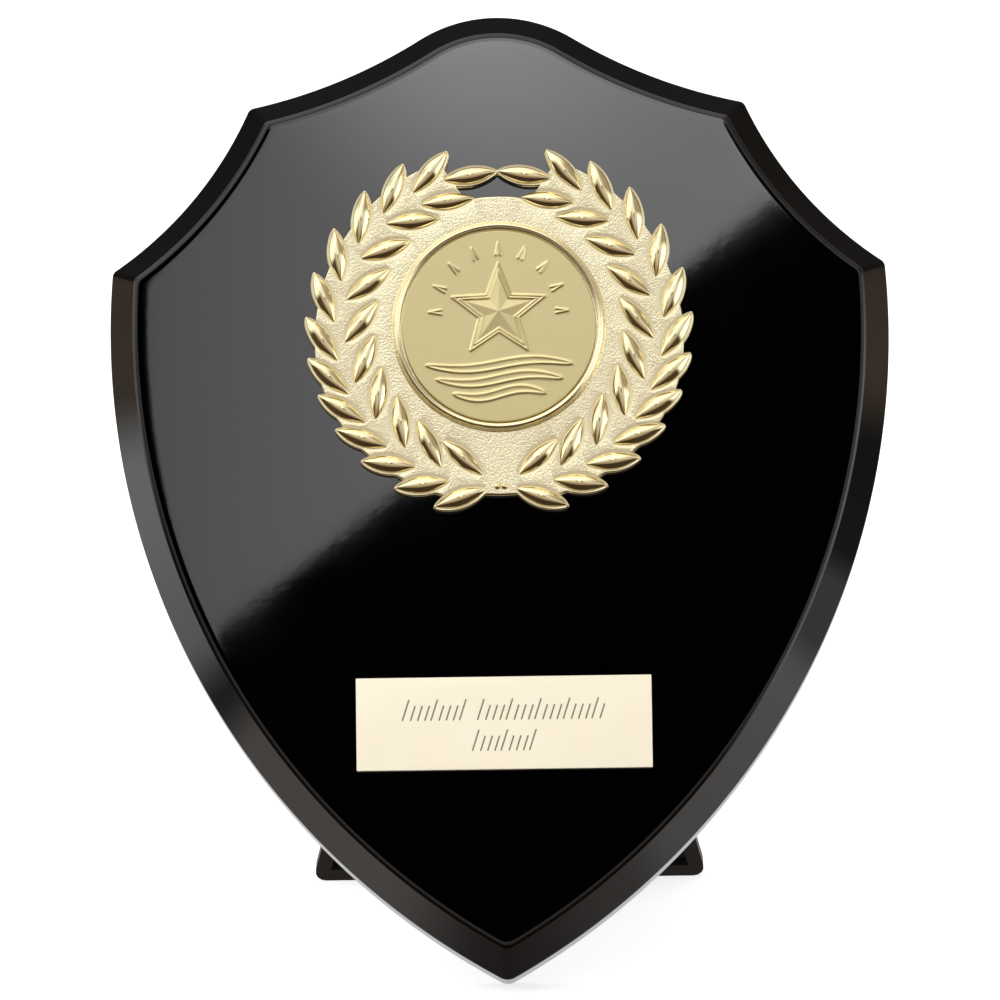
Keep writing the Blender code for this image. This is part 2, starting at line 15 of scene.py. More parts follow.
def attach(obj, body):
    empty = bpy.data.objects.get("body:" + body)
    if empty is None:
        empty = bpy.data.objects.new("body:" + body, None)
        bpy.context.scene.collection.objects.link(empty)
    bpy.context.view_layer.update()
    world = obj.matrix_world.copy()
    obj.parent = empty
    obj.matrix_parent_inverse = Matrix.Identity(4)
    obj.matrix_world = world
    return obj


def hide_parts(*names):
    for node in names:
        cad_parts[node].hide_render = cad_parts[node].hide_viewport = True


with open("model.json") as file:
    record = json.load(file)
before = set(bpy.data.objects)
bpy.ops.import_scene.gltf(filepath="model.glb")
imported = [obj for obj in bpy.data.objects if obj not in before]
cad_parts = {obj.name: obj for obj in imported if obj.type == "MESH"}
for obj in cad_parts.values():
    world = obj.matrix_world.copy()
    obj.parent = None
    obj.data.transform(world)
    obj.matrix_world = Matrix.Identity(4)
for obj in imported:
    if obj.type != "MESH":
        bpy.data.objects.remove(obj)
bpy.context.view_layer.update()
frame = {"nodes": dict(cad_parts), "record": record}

MM = 0.001
GAP = 0.3 * MM
FULL_TURN = 2.0 * math.pi
QUARTER_TURN = math.pi / 2.0

# Angles over which a shaded surface has a crease: on plain pieces, on the gold and on the hardware
PLAIN_CREASE = math.radians(40.0)
GOLD_CREASE = math.radians(50.0)
HARDWARE_CREASE = math.radians(32.0)

# Board: its size, its bevelled rim and the arcs of its outline
BOARD_HEIGHT = 127.0 * MM
BOARD_WIDTH = 101.6 * MM
BOARD_THICKNESS = 11.0 * MM
BEVEL_WIDTH = 3.35 * MM
BEVEL_DEPTH = 5.0 * MM
EDGE_ROUND = 0.9 * MM
WALL_EDGE_ROUND = 0.45 * MM
BACK_EDGE_ROUND = 0.4 * MM
EDGE_STEPS = 9
EDGE_SUPPORT = 0.04 * MM
ROLL_WIDTH = 1.1 * MM
ROLL_SLOPE = math.radians(3.0)
ROLL_STEPS = 6
CROWN_RADIUS = 19.0 * MM
SWEEP_RADIUS = 68.5 * MM
NOTCH_RADIUS = 50.4 * MM
SIDE_RADIUS = 97.0 * MM
UPPER_CORNER = Vector((32.4 * MM, 115.2 * MM))
SHOULDER_HEIGHT = 93.6 * MM
CORNER_ROUND = 1.1 * MM
TIP_ROUND = 1.95 * MM
CROWN_STEPS = 28
SWEEP_STEPS = 24
NOTCH_STEPS = 28
SIDE_STEPS = 90
CORNER_STEPS = 6
FACE_CENTRE = Vector((0.0, 70.0 * MM))
FACE_RINGS = (0.98, 0.8, 0.6, 0.4, 0.2)

# Wreath, with the numbers of its three finishes
STIPPLED, SMOOTH, SATIN = range(3)
FLAT_NORMAL = 0.999
WREATH_HEIGHT_ON_BOARD = 84.6 * MM
GROUND_RADIUS = 23.2 * MM
GROUND_SWELL = 1.1 * MM
GROUND_SWELL_ANGLE = math.radians(113.0)
GROUND_SWELL_SPREAD = math.radians(35.0)
GROUND_TOP_RADIUS = 17.3 * MM
GROUND_TOP_ANGLE = math.radians(17.0)
GROUND_FOOT_RADIUS = 22.1 * MM
GROUND_FOOT_ANGLE = math.radians(169.0)
GROUND_THICKNESS = 1.2 * MM
RIM_ROUND = 0.14 * MM
RIM_STEPS = 5
RIM_FLANGE = 0.07 * MM
RIM_FLANGE_HEIGHT = 0.3 * MM
PAD_MARGIN = 0.36 * MM
PAD_END_MARGIN = 0.28 * MM
PAD_WIDTH_POWER = 0.62
PAD_STEPS = 40
ROUND_COLUMNS = 720
NOTCH_SOFTENING = 4
LEAF_LENGTH = 6.9 * MM
LEAF_WIDTH = 2.1 * MM
LEAF_RISE = 0.85 * MM
LEAF_WIDTH_POWER = 0.8
LEAF_CREST_POWER = 0.8
LEAF_DOME_POWER = 1.9
LEAF_WALL_REACH = 0.05
LEAF_WALL_RISE = 0.3
LEAF_WALL_STEPS = 3
LEAF_ROOT = 0.5 * MM
LEAF_SECTIONS = 32
LEAF_DOME_STEPS = 8
DISH_REACH = (0.04 * MM, 0.5 * MM)
DISH_DEPTH = 0.13 * MM
DISH_STEPS = 16
OUTER_LEAVES = 13
OUTER_RADIUS = 23.0 * MM
OUTER_ANGLES = (math.radians(10.0), math.radians(166.8))
OUTER_ANGLE_SWELL = math.radians(5.0)
OUTER_SPLAY = math.radians(32.0)
INNER_LEAVES = 10
INNER_RADIUS = 17.85 * MM
INNER_ANGLES = (math.radians(21.3), math.radians(164.0))
INNER_ANGLE_SWELL = math.radians(2.4)
INNER_SPLAY = math.radians(-36.0)
TOP_DRAW_IN = 0.117
TOP_DRAW_IN_FADE = 1.3
OUTER_TOP_FLATTEN = 1.03
OUTER_TOP_FADE = 1.9
INNER_TOP_FLATTEN = 0.6
INNER_TOP_FADE = 2.0
INNER_FOOT_FLATTEN = 0.28
INNER_FOOT_POWER = 12
KNOT_RADIUS = 0.5 * MM
KNOT_SPREAD = 0.46 * MM
KNOT_HEIGHT = -21.0 * MM
KNOT_STEPS = 8
KNOT_COLUMNS = 24
WINDOW_CORNER = Vector((4.15 * MM, 17.75 * MM))
WINDOW_SILL = (Vector((3.5 * MM, 17.3 * MM)), Vector((2.9 * MM, 17.06 * MM)),
               Vector((1.5 * MM, 17.18 * MM)))
WINDOW_SILL_MIDDLE = Vector((0.0, 17.22 * MM))
WINDOW_LEAF_PARTS = (0.52, 0.97)
WINDOW_STEPS = 14
WINDOW_MARGIN = 0.3 * MM
WINDOW_ROUND = 0.2 * MM
RING_INNER_RADIUS = 12.85 * MM
RING_CREST_RADII = (13.05 * MM, 13.4 * MM)
RING_OUTER_RADIUS = 13.9 * MM
RING_CREST = 2.05 * MM
RING_CROWN = 0.11 * MM
RING_STEPS = 10
RECESS_FLOOR = 0.7 * MM
STIPPLE_GRAIN = 0.25 * MM
STIPPLE_DEPTH = 0.11 * MM

# Centre disc and its raised lines
DISC_RADIUS = 12.6 * MM
DISC_THICKNESS = 0.7 * MM
DISC_EDGE = 0.08 * MM
DISC_CELLS = 280
LINE_WIDTH = 0.15 * MM
LINE_RISE = 0.15 * MM
STAR_CENTRE = Vector((0.0, 1.9 * MM))
STAR_OUTLINES = (6.3 * MM, 5.35 * MM)
STAR_FACETS = 4.7 * MM
STAR_WAIST = 0.42
STAR_POINTS = 5
STAR_PEAK = 0.3 * MM
RAY_COUNT = 9
RAY_SPREAD = math.radians(22.5)
RAY_REACH = (7.5 * MM, 9.0 * MM)
RAY_GAP = 0.28 * MM
WAVE_HEIGHTS = (-5.1 * MM, -7.0 * MM, -8.9 * MM)
WAVE_REACH = 10.7 * MM
WAVE_SWING = 0.55 * MM
WAVE_HALF_WIDTH = 0.5 * MM
WAVE_RISE = 0.05 * MM
WAVE_STEPS = 48

# Engraving plate and its rows of shallow strokes
PLATE_WIDTH = 38.1 * MM
PLATE_HEIGHT = 12.0 * MM
PLATE_THICKNESS = 0.6 * MM
PLATE_HEIGHT_ON_BOARD = 32.9 * MM
PLATE_EDGE = 0.1 * MM
EDGE_SEGMENTS = 3
STROKE_WIDTH = 0.2 * MM
STROKE_DEPTH = 0.06 * MM
STROKE_HEIGHT = 2.9 * MM
STROKE_PITCH = 0.92 * MM
STROKE_GAP = 1.4 * MM
LOW_STROKE = 0.72
TALL_STROKE_EVERY = 4
STROKE_ROWS = ((1.75 * MM, (9, 18)), (-2.25 * MM, (9,)))
STROKE_SLANT = math.radians(18.0)
STROKE_ROUND_STEPS = 6

# Hardware: the edges that are rounded, and what a CAD mesh's points and faces are joined by
HARDWARE_SHARP = math.radians(35.0)
STRUT_EDGE = 0.22 * MM
BRACKET_EDGE = 0.2 * MM
SCREW_EDGE = 0.05 * MM
SCREW_SEGMENTS = 2
SAME_POINT = 0.001 * MM
SAME_PLANE = math.radians(1.0)

# Gold: how many clouds of tone and of haze there are for each metre
GOLD_TONE = 140.0
GOLD_HAZE = 1200.0

# Camera, as the photograph was taken: pixels are those of a picture of 1000 by 1000
PICTURE_SIZE = 1000.0
CAMERA_DISTANCE = 1.0
CAMERA_ELEVATION = math.radians(13.0)
CAMERA_AZIMUTH = math.radians(0.5)
CAMERA_ROLL = math.radians(0.93)
CAMERA_LENS = 281.6
SENSOR_WIDTH = 36.0
AIM_POINT = Vector((0.0, -22.6 * MM, 59.6 * MM))
AIM_PIXEL = (501.0, 535.7)
CLIP_DISTANCES = (0.05, 20.0)

# Floor and light
FLOOR_HALF = 4.0
FLOOR_CELLS = 8
FLOOR_GLOW = 0.72
WHITE = (1.0, 1.0, 1.0, 1.0)
BLACK = (0.0, 0.0, 0.0, 1.0)
# The soft box that the face mirrors, as slopes across and up from the mirrored line of sight
BOX_EDGE_START = Vector((-0.0370, -0.0104))
BOX_EDGE_END = Vector((0.0362, 0.0449))
BOX_EDGE_SOFTNESS = 0.0006
BOX_SIDES = (-0.056, 0.0395)
BOX_SIDE_SOFTNESS = 0.003
BOX_CENTRE = Vector((-0.009, 0.066))
BOX_CENTRE_LIGHT = 6.1
BOX_FAR_LIGHT = 3.25
BOX_FAR_SLOPE = 26.0
BOX_FADE = 0.038
# The rest of the room by its turn from that line, in degrees: where each band begins and has
# wholly taken over
FRONT_BAND = (6.5, 10.5)
MIDDLE_BAND = (28.0, 36.0)
SIDE_BAND = (50.0, 60.0)
RIM_BAND = (100.0, 107.0)
WALL_BAND = (130.0, 145.0)
# Light of each band by clock angle round that line, anticlockwise from the right:
# (degrees, light, how warm it is from 0 to 1)
FRONT_LIGHT = (
    (-180, 0.75, 0), (-110, 0.6, 0.3), (-50, 0.6, 0.3), (0, 0.8, 0.1), (45, 0.85, 0), (90, 1.1, 0),
    (140, 1.05, 0), (180, 0.75, 0))
MIDDLE_LIGHT = (
    (-180, 0.55, 0.2), (-165, 0.40, 0.6), (-90, 0.36, 0.7), (-40, 0.36, 0.6), (-15, 0.7, 0),
    (5, 0.8, 0), (25, 0.42, 0.4), (50, 0.6, 0.2), (75, 1.6, 0), (150, 1.9, 0), (172, 1.3, 0),
    (180, 0.55, 0.2))
SIDE_LIGHT = (
    (-180, 1.4, 0), (-168, 0.08, 1), (-90, 0.05, 1), (-35, 0.07, 1), (-22, 1.8, 0), (4, 2.0, 0),
    (20, 0.4, 0.5), (50, 0.4, 0.4), (70, 1.2, 0.2), (120, 1.5, 0.1), (140, 0.8, 0), (165, 1.6, 0),
    (180, 1.4, 0))
RIM_LIGHT = (
    (-180, 1.55, 0), (-168, 1.3, 0), (-161.5, 0.17, 0.1), (-156, 0.85, 0.3), (-139, 0.93, 0.25),
    (-126, 0.22, 0.4), (-56, 0.22, 0.4), (-43, 0.5, 0.3), (-36, 0.95, 0.15), (-18, 1.08, 0.05),
    (-13.5, 0.48, 0), (-9, 0.5, 0), (-5.5, 0.11, 0), (4, 0.08, 0), (10, 0.45, 0.9), (16, 0.41, 0.85),
    (27, 0.08, 0.6), (90, 0.08, 0.2), (150, 0.07, 0.3), (160, 0.38, 0.9), (170, 0.42, 0.7),
    (177, 1.55, 0), (180, 1.55, 0))
WALL_LIGHT = (0.75, 0.75, 0.75, 1.0)
LEAST_AHEAD = 0.05
LIGHT_MAP_SIZE = 2048
WARM = Vector((1.0, 0.7, 0.48))


def mount(name):
    """(place, outward axis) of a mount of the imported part."""
    found = next(entry for entry in frame["record"]["mounts"] if entry["name"] == name)
    return Vector(found["pos_m"]), Vector(found["axis"])


plate_front, face_normal = mount("engraving_plate_face")
BOARD_LEAN = math.atan2(face_normal.z, -face_normal.y)
board_turn = Matrix.Rotation(-BOARD_LEAN, 4, "X")
plate_in_board = Vector((0.0, -BOARD_THICKNESS - GAP - PLATE_THICKNESS, PLATE_HEIGHT_ON_BOARD))
board_place = Matrix.Translation(plate_front) @ board_turn @ Matrix.Translation(-plate_in_board)
MIRROR_ELEVATION = 2.0 * BOARD_LEAN - CAMERA_ELEVATION
MIRROR_WAY = Vector((0.0, -math.cos(MIRROR_ELEVATION), math.sin(MIRROR_ELEVATION)))
MIRROR_UP = Vector((0.0, math.sin(MIRROR_ELEVATION), math.cos(MIRROR_ELEVATION)))


def on_face(height, standoff=GAP):
    """The place of a piece that lies face up in its own frame, at a height on the board's face."""
    spot = Matrix.Translation((0.0, -BOARD_THICKNESS - standoff, height))
    return board_place @ spot @ Matrix.Rotation(QUARTER_TURN, 4, "X")


def placed(name, data):
    """A new object of the scene with the given data."""
    made = bpy.data.objects.new(name, data)
    bpy.context.scene.collection.objects.link(made)
    return made


def new_piece(name, mesh, place, body, node, slot, *finishes):
    """Makes a shown piece that stands for a CAD node, with its place in its mesh as the node has."""
    mesh.transform(place)
    piece = placed(name, mesh)
    for finish in finishes:
        mesh.materials.append(finish)
    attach(piece, body)
    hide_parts(node)
    return piece


def mesh_of(name, verts, faces):
    mesh = bpy.data.meshes.new(name)
    mesh.from_pydata(verts, [], faces)
    mesh.validate()
    mesh.update()
    return mesh


def smooth(mesh, angle=PLAIN_CREASE):
    mesh.shade_smooth()
    mesh.set_sharp_from_angle(angle=angle)


def applied(target, *others):
    """The mesh that an object's modifiers make. The object and the others are then taken away."""
    bpy.context.view_layer.update()
    graph = bpy.context.evaluated_depsgraph_get()
    made = bpy.data.meshes.new_from_object(target.evaluated_get(graph))
    for thing in (target, *others):
        bpy.data.objects.remove(thing, do_unlink=True)
    return made


def weighted(mesh):
    """The mesh with corner normals that follow its larger faces, so that flat areas shade flat."""
    target = placed("weighted_target", mesh)
    step = target.modifiers.new("step", "WEIGHTED_NORMAL")
    step.keep_sharp = True
    return applied(target)


def outward(mesh):
    bm = bmesh.new()
    bm.from_mesh(mesh)
    bmesh.ops.recalc_face_normals(bm, faces=bm.faces)
    bm.to_mesh(mesh)
    bm.free()


def apply_boolean(mesh, cutter, operation, crossing=False):
    """The mesh after one exact Boolean with another mesh, whose own parts may cross each other."""
    target = placed("boolean_target", mesh)
    tool = placed("boolean_tool", cutter)
    step = target.modifiers.new("step", "BOOLEAN")
    step.operation = operation
    step.solver = "EXACT"
    step.use_self = crossing
    step.object = tool
    return applied(target, tool)


def quarter(steps):
    """(cosine, sine) of even steps over a quarter turn, with both ends."""
    turns = [QUARTER_TURN * step / steps for step in range(steps + 1)]
    return [(math.cos(turn), math.sin(turn)) for turn in turns]


def circle(radius, steps):
    return [(radius * math.cos(FULL_TURN * step / steps), radius * math.sin(FULL_TURN * step / steps))
            for step in range(steps)]


def lofted(loops, closing=True):
    """(verts, faces) of closed loops of equal length joined with quads, with both ends closed."""
    count = len(loops[0])
    verts = [tuple(point) for loop in loops for point in loop]
    faces = []
    for row in range(len(loops) - 1):
        for index in range(count):
            after = (index + 1) % count
            faces.append((row * count + index, row * count + after,
                          (row + 1) * count + after, (row + 1) * count + index))
    if closing:
        faces.append(tuple(range(count)))
        faces.append(tuple(range((len(loops) - 1) * count, len(loops) * count)))
    return verts, faces


def joined(parts):
    """One (verts, faces) from several."""
    verts = []
    faces = []
    for part_verts, part_faces in parts:
        first = len(verts)
        verts += list(part_verts)
        faces += [tuple(corner + first for corner in face) for face in part_faces]
    return verts, faces


# Outline of the shield

def circle_crossing(centre_a, radius_a, centre_b, radius_b, side):
    """The point where two circles cross, on the left (+1) or right (-1) of the line from a to b."""
    along = centre_b - centre_a
    distance = along.length
    reach = (distance ** 2 + radius_a ** 2 - radius_b ** 2) / (2.0 * distance)
    rise = math.sqrt(max(radius_a ** 2 - reach ** 2, 0.0))
    direction = along / distance
    across = Vector((-direction.y, direction.x))
    return centre_a + direction * reach + across * rise * side


def arc(centre, start, end, steps):
    """Points from start to end round the centre, the short way, with both ends."""
    first = math.atan2(start.y - centre.y, start.x - centre.x)
    last = math.atan2(end.y - centre.y, end.x - centre.x)
    turn = (last - first + math.pi) % FULL_TURN - math.pi
    radius = (start - centre).length
    points = []
    for step in range(steps + 1):
        angle = first + turn * step / steps
        points.append(centre + Vector((math.cos(angle), math.sin(angle))) * radius)
    return points


def rounded_corner(before, corner, after, radius, steps):
    """Points of a fillet of the given radius between two straight runs that meet at the corner."""
    to_before = (before - corner).normalized()
    to_after = (after - corner).normalized()
    half_angle = to_before.angle(to_after) / 2.0
    setback = radius / math.tan(half_angle)
    centre = corner + (to_before + to_after).normalized() * radius / math.sin(half_angle)
    return arc(centre, corner + to_before * setback, corner + to_after * setback, steps)


def outline_centres():
    """Centres of the outline's four arcs on the right half, with the tip at the origin."""
    crown = Vector((0.0, BOARD_HEIGHT - CROWN_RADIUS))
    sweep = circle_crossing(crown, CROWN_RADIUS + SWEEP_RADIUS, UPPER_CORNER, SWEEP_RADIUS, 1)
    side_x = BOARD_WIDTH / 2.0 - SIDE_RADIUS
    side = Vector((side_x, math.sqrt(SIDE_RADIUS ** 2 - side_x ** 2)))
    shoulder_x = side.x + math.sqrt(SIDE_RADIUS ** 2 - (SHOULDER_HEIGHT - side.y) ** 2)
    shoulder = Vector((shoulder_x, SHOULDER_HEIGHT))
    notch = circle_crossing(UPPER_CORNER, NOTCH_RADIUS, shoulder, NOTCH_RADIUS, 1)
    return crown, sweep, notch, side


def shield_outline(inset):
    """The shield's outline drawn in by an inset, counter-clockwise from the tip, tip at the origin."""
    crown, sweep, notch, side = outline_centres()
    crown_radius = CROWN_RADIUS - inset
    side_radius = SIDE_RADIUS - inset
    notch_radius = NOTCH_RADIUS + inset
    sweep_radius = SWEEP_RADIUS + inset
    apex = crown + Vector((0.0, crown_radius))
    join = crown + (sweep - crown).normalized() * crown_radius
    upper = circle_crossing(sweep, sweep_radius, notch, notch_radius, -1)
    shoulder = circle_crossing(notch, notch_radius, side, side_radius, 1)
    tip = Vector((0.0, side.y - math.sqrt(side_radius ** 2 - side.x ** 2)))
    side_arc = arc(side, tip, shoulder, SIDE_STEPS)
    notch_arc = arc(notch, shoulder, upper, NOTCH_STEPS)
    sweep_arc = arc(sweep, upper, join, SWEEP_STEPS)
    crown_arc = arc(crown, join, apex, CROWN_STEPS)
    mirrored = Vector((-side_arc[1].x, side_arc[1].y))
    tip_round = rounded_corner(mirrored, tip, side_arc[1], TIP_ROUND, 2 * CORNER_STEPS)
    right = tip_round[CORNER_STEPS:]
    right += side_arc[2:-1]
    right += rounded_corner(side_arc[-2], shoulder, notch_arc[1], CORNER_ROUND, CORNER_STEPS)
    right += notch_arc[1:-1]
    right += rounded_corner(notch_arc[-2], upper, sweep_arc[1], CORNER_ROUND, CORNER_STEPS)
    right += sweep_arc[1:-1]
    right += crown_arc
    left = [Vector((-point.x, point.y)) for point in reversed(right[1:-1])]
    return right + left


# Board

def board_profile():
    """(inset, depth behind the front face) from the face's edge round to the back's edge."""
    inwards = Vector((1.0, 0.0))
    roll_drop = ROLL_WIDTH * math.tan(ROLL_SLOPE) / 2.0
    roll = []
    for step in range(ROLL_STEPS):
        share = step / ROLL_STEPS
        roll.append(Vector((BEVEL_WIDTH + ROLL_WIDTH * (1.0 - share), roll_drop * share ** 2)))
    face_edge = Vector((BEVEL_WIDTH, roll_drop))
    wall_edge = Vector((0.0, BEVEL_DEPTH))
    back_edge = Vector((0.0, BOARD_THICKNESS))
    slope = (wall_edge - face_edge).normalized()
    front = rounded_corner(roll[-1], face_edge, wall_edge, EDGE_ROUND, EDGE_STEPS)
    middle = rounded_corner(face_edge, wall_edge, back_edge, WALL_EDGE_ROUND, EDGE_STEPS)
    back = rounded_corner(wall_edge, back_edge, back_edge + inwards, BACK_EDGE_ROUND, EDGE_STEPS)
    profile = [point for point in roll if point.x > front[0].x + EDGE_SUPPORT]
    profile += [*front, front[-1] + slope * EDGE_SUPPORT]
    profile += [middle[0] - slope * EDGE_SUPPORT, *middle, middle[-1] + Vector((0.0, EDGE_SUPPORT))]
    profile += [back[0] - Vector((0.0, EDGE_SUPPORT)), *back, back[-1] + inwards * EDGE_SUPPORT]
    return profile


def board_mesh():
    """The board with its back face at y = 0. Its first and last faces are filled by shrinking loops."""
    loops = []
    for inset, depth in board_profile():
        loops.append([(point.x, depth - BOARD_THICKNESS, point.y) for point in shield_outline(inset)])
    front = loops[0]
    back = loops[-1]
    centre = Vector((FACE_CENTRE.x, 0.0, FACE_CENTRE.y))

    def shrunk(loop, share):
        middle = centre + Vector((0.0, loop[0][1], 0.0))
        return [tuple(middle + (Vector(point) - middle) * share) for point in loop]

    loops = [shrunk(front, share) for share in reversed(FACE_RINGS)] + loops
    loops += [shrunk(back, share) for share in FACE_RINGS]
    mesh = mesh_of("shield_board_fine", *lofted(loops))
    outward(mesh)
    smooth(mesh)
    paint_back(mesh, -0.5 * BACK_EDGE_ROUND)
    return mesh


def paint_back(mesh, level):
    """Gives the second material to the faces behind a level."""
    for face in mesh.polygons:
        if face.center.y > level:
            face.material_index = 1


# Wreath: a ground with a rounded rim and a ring, and a domed leaf for each place

def leaf_places():
    """(x, y, heading) of every leaf of both branches, with the disc's centre as origin."""
    places = []
    for index in range(OUTER_LEAVES):
        part = index / (OUTER_LEAVES - 1)
        angle = OUTER_ANGLES[0] + (OUTER_ANGLES[1] - OUTER_ANGLES[0]) * part
        angle += OUTER_ANGLE_SWELL * math.sin(math.pi * part) ** 4
        radius = OUTER_RADIUS * (1.0 - TOP_DRAW_IN * math.exp(-TOP_DRAW_IN_FADE * index))
        splay = OUTER_SPLAY * (1.0 - OUTER_TOP_FLATTEN * math.exp(-OUTER_TOP_FADE * index))
        places.append((radius, angle, angle + splay))
    for index in range(INNER_LEAVES):
        part = index / (INNER_LEAVES - 1)
        angle = INNER_ANGLES[0] + (INNER_ANGLES[1] - INNER_ANGLES[0]) * part
        angle += INNER_ANGLE_SWELL * math.sin(math.pi * part)
        flatten = INNER_TOP_FLATTEN * math.exp(-INNER_TOP_FADE * index)
        flatten += INNER_FOOT_FLATTEN * part ** INNER_FOOT_POWER
        places.append((INNER_RADIUS, angle, angle + INNER_SPLAY * (1.0 - flatten)))
    left = [(-math.sin(turn) * radius, math.cos(turn) * radius, heading)
            for radius, turn, heading in places]
    right = [(-x, y, math.pi - heading) for x, y, heading in left]
    return left, right


def leaf_half_width(part):
    return LEAF_WIDTH / 2.0 * math.sin(math.pi * part) ** LEAF_WIDTH_POWER


def leaf_frame(place, level=0.0):
    """(middle, way along, way across) of a leaf, with its middle at a level."""
    x, y, heading = place
    along_way = Vector((math.cos(heading), math.sin(heading), 0.0))
    return Vector((x, y, level)), along_way, Vector((-along_way.y, along_way.x, 0.0))


def leaf_edge(place, margin, parts, sides):
    """Points along a leaf's outline, drawn outwards by a margin."""
    middle, along_way, across_way = leaf_frame(place)
    points = []
    for side in sides:
        for part in parts:
            along = (part - 0.5) * LEAF_LENGTH
            across = (leaf_half_width(part) + margin) * side
            points.append(middle + along_way * along + across_way * across)
    return points


def ground_reach(angles, drawn_in):
    """Radius of the ground's own edge by angle, drawn in by a distance, with its steps softened."""
    folded = np.minimum(angles, FULL_TURN - angles)
    swell = np.exp(-((folded - GROUND_SWELL_ANGLE) / GROUND_SWELL_SPREAD) ** 2)
    reach = np.where(folded < GROUND_TOP_ANGLE, GROUND_TOP_RADIUS, GROUND_RADIUS + GROUND_SWELL * swell)
    reach = np.where(folded > GROUND_FOOT_ANGLE, GROUND_FOOT_RADIUS, reach) - drawn_in
    for _ in range(2):
        reach = sum(np.roll(reach, step) for step in range(-NOTCH_SOFTENING, NOTCH_SOFTENING + 1))
        reach = reach / (2 * NOTCH_SOFTENING + 1)
    return reach


def pad_solid(place):
    """(verts, faces) of the pad on which one outer leaf stands out from the ground."""
    loops = []
    for drawn_in, height in rim_profile():
        middle, along_way, across_way = leaf_frame(place, height)
        half_width = LEAF_WIDTH / 2.0 + PAD_MARGIN - drawn_in
        half_length = LEAF_LENGTH / 2.0 + PAD_END_MARGIN - drawn_in
        loop = []
        for step in range(2 * PAD_STEPS):
            turn = math.pi * step / PAD_STEPS
            part = (1.0 - math.cos(turn)) / 2.0
            swell = math.sin(math.pi * part) ** PAD_WIDTH_POWER
            across = math.copysign(swell, math.sin(turn)) * half_width
            loop.append(middle - along_way * math.cos(turn) * half_length + across_way * across)
        loops.append(loop)
    return lofted(loops)


def ring_profile():
    """(radius, height) over the recess's lip, the ring's slightly crowned crest and its outer flank."""
    crest_start, crest_end = RING_CREST_RADII
    lip = crest_start - RING_INNER_RADIUS
    profile = []
    for cosine, sine in quarter(RING_STEPS // 2)[:-1]:
        profile.append((crest_start - lip * cosine, RING_CREST - lip * (1.0 - sine)))
    for step in range(RING_STEPS):
        share = step / RING_STEPS
        crown = RING_CROWN * math.sin(math.pi * share)
        profile.append((crest_start + (crest_end - crest_start) * share, RING_CREST + crown))
    for step in range(RING_STEPS + 1):
        share = step / RING_STEPS
        fall = (1.0 - math.cos(math.pi * share)) / 2.0
        profile.append((crest_end + (RING_OUTER_RADIUS - crest_end) * share,
                        RING_CREST + (GROUND_THICKNESS - RING_CREST) * fall))
    return profile


def rim_profile():
    """(distance in from the edge, height) over the rounded rim, its wall and its flange."""
    profile = [(RIM_FLANGE + RIM_ROUND + EDGE_SUPPORT, GROUND_THICKNESS)]
    for width, top, start in ((RIM_ROUND, GROUND_THICKNESS, RIM_FLANGE),
                              (RIM_FLANGE, RIM_FLANGE_HEIGHT, 0.0)):
        for cosine, sine in quarter(RIM_STEPS):
            profile.append((start + width * (1.0 - sine), top - width * (1.0 - cosine)))
    profile.append((0.0, 0.0))
    return profile


def ground_mesh():
    """The wreath's ground with the recess, the ring and the rim, but without leaves."""
    angles = np.arange(ROUND_COLUMNS) * FULL_TURN / ROUND_COLUMNS
    rays = np.stack([-np.sin(angles), np.cos(angles)], axis=1)
    ones = np.ones(ROUND_COLUMNS)
    rows = [(ones * RING_INNER_RADIUS, RECESS_FLOOR)]
    rows += [(ones * radius, height) for radius, height in ring_profile()]
    rows.append((ones * (RING_OUTER_RADIUS + EDGE_SUPPORT), GROUND_THICKNESS))
    rows += [(ground_reach(angles, drawn_in), height) for drawn_in, height in rim_profile()]
    rows.append((ones * RING_INNER_RADIUS, 0.0))
    loops = [[(ray[0] * reach, ray[1] * reach, height) for ray, reach in zip(rays, radius)]
             for radius, height in rows]
    return mesh_of("wreath_ground", *lofted(loops))


def mark_ground(mesh):
    """Gives the flat of the ground the stippled finish and all else the satin one."""
    low = GROUND_THICKNESS - EDGE_SUPPORT / 2.0
    high = GROUND_THICKNESS + EDGE_SUPPORT / 2.0
    for face in mesh.polygons:
        flat = face.normal.z > FLAT_NORMAL and low < face.center.z < high
        face.material_index = STIPPLED if flat else SATIN


def window_tool():
    """The tool that opens the gap under the top leaves, flared at the top for a rounded edge."""
    left, right = leaf_places()
    low, high = WINDOW_LEAF_PARTS
    parts = [low + (high - low) * step / WINDOW_STEPS for step in range(WINDOW_STEPS + 1)]
    upper_left = leaf_edge(left[0], WINDOW_MARGIN, parts, (-1.0,))
    half = [WINDOW_SILL_MIDDLE, *reversed(WINDOW_SILL), WINDOW_CORNER]
    half += [Vector((-point.x, point.y)) for point in upper_left]
    outline = half + [Vector((-point.x, point.y)) for point in reversed(half[1:])]
    count = len(outline)

    def flared(reach):
        made = []
        for index, point in enumerate(outline):
            along = (outline[(index + 1) % count] - outline[index - 1]).normalized()
            made.append(point + Vector((along.y, -along.x)) * reach)
        return made

    loops = [[(point.x, point.y, -GROUND_THICKNESS) for point in outline]]
    for cosine, sine in quarter(RIM_STEPS):
        level = GROUND_THICKNESS - WINDOW_ROUND * (1.0 - sine)
        reach = WINDOW_ROUND * (1.0 - cosine)
        loops.append([(point.x, point.y, level) for point in flared(reach)])
    loops.append([(point.x, point.y, 2.0 * GROUND_THICKNESS) for point in flared(WINDOW_ROUND)])
    mesh = mesh_of("window_tool", *lofted(loops))
    outward(mesh)
    return mesh


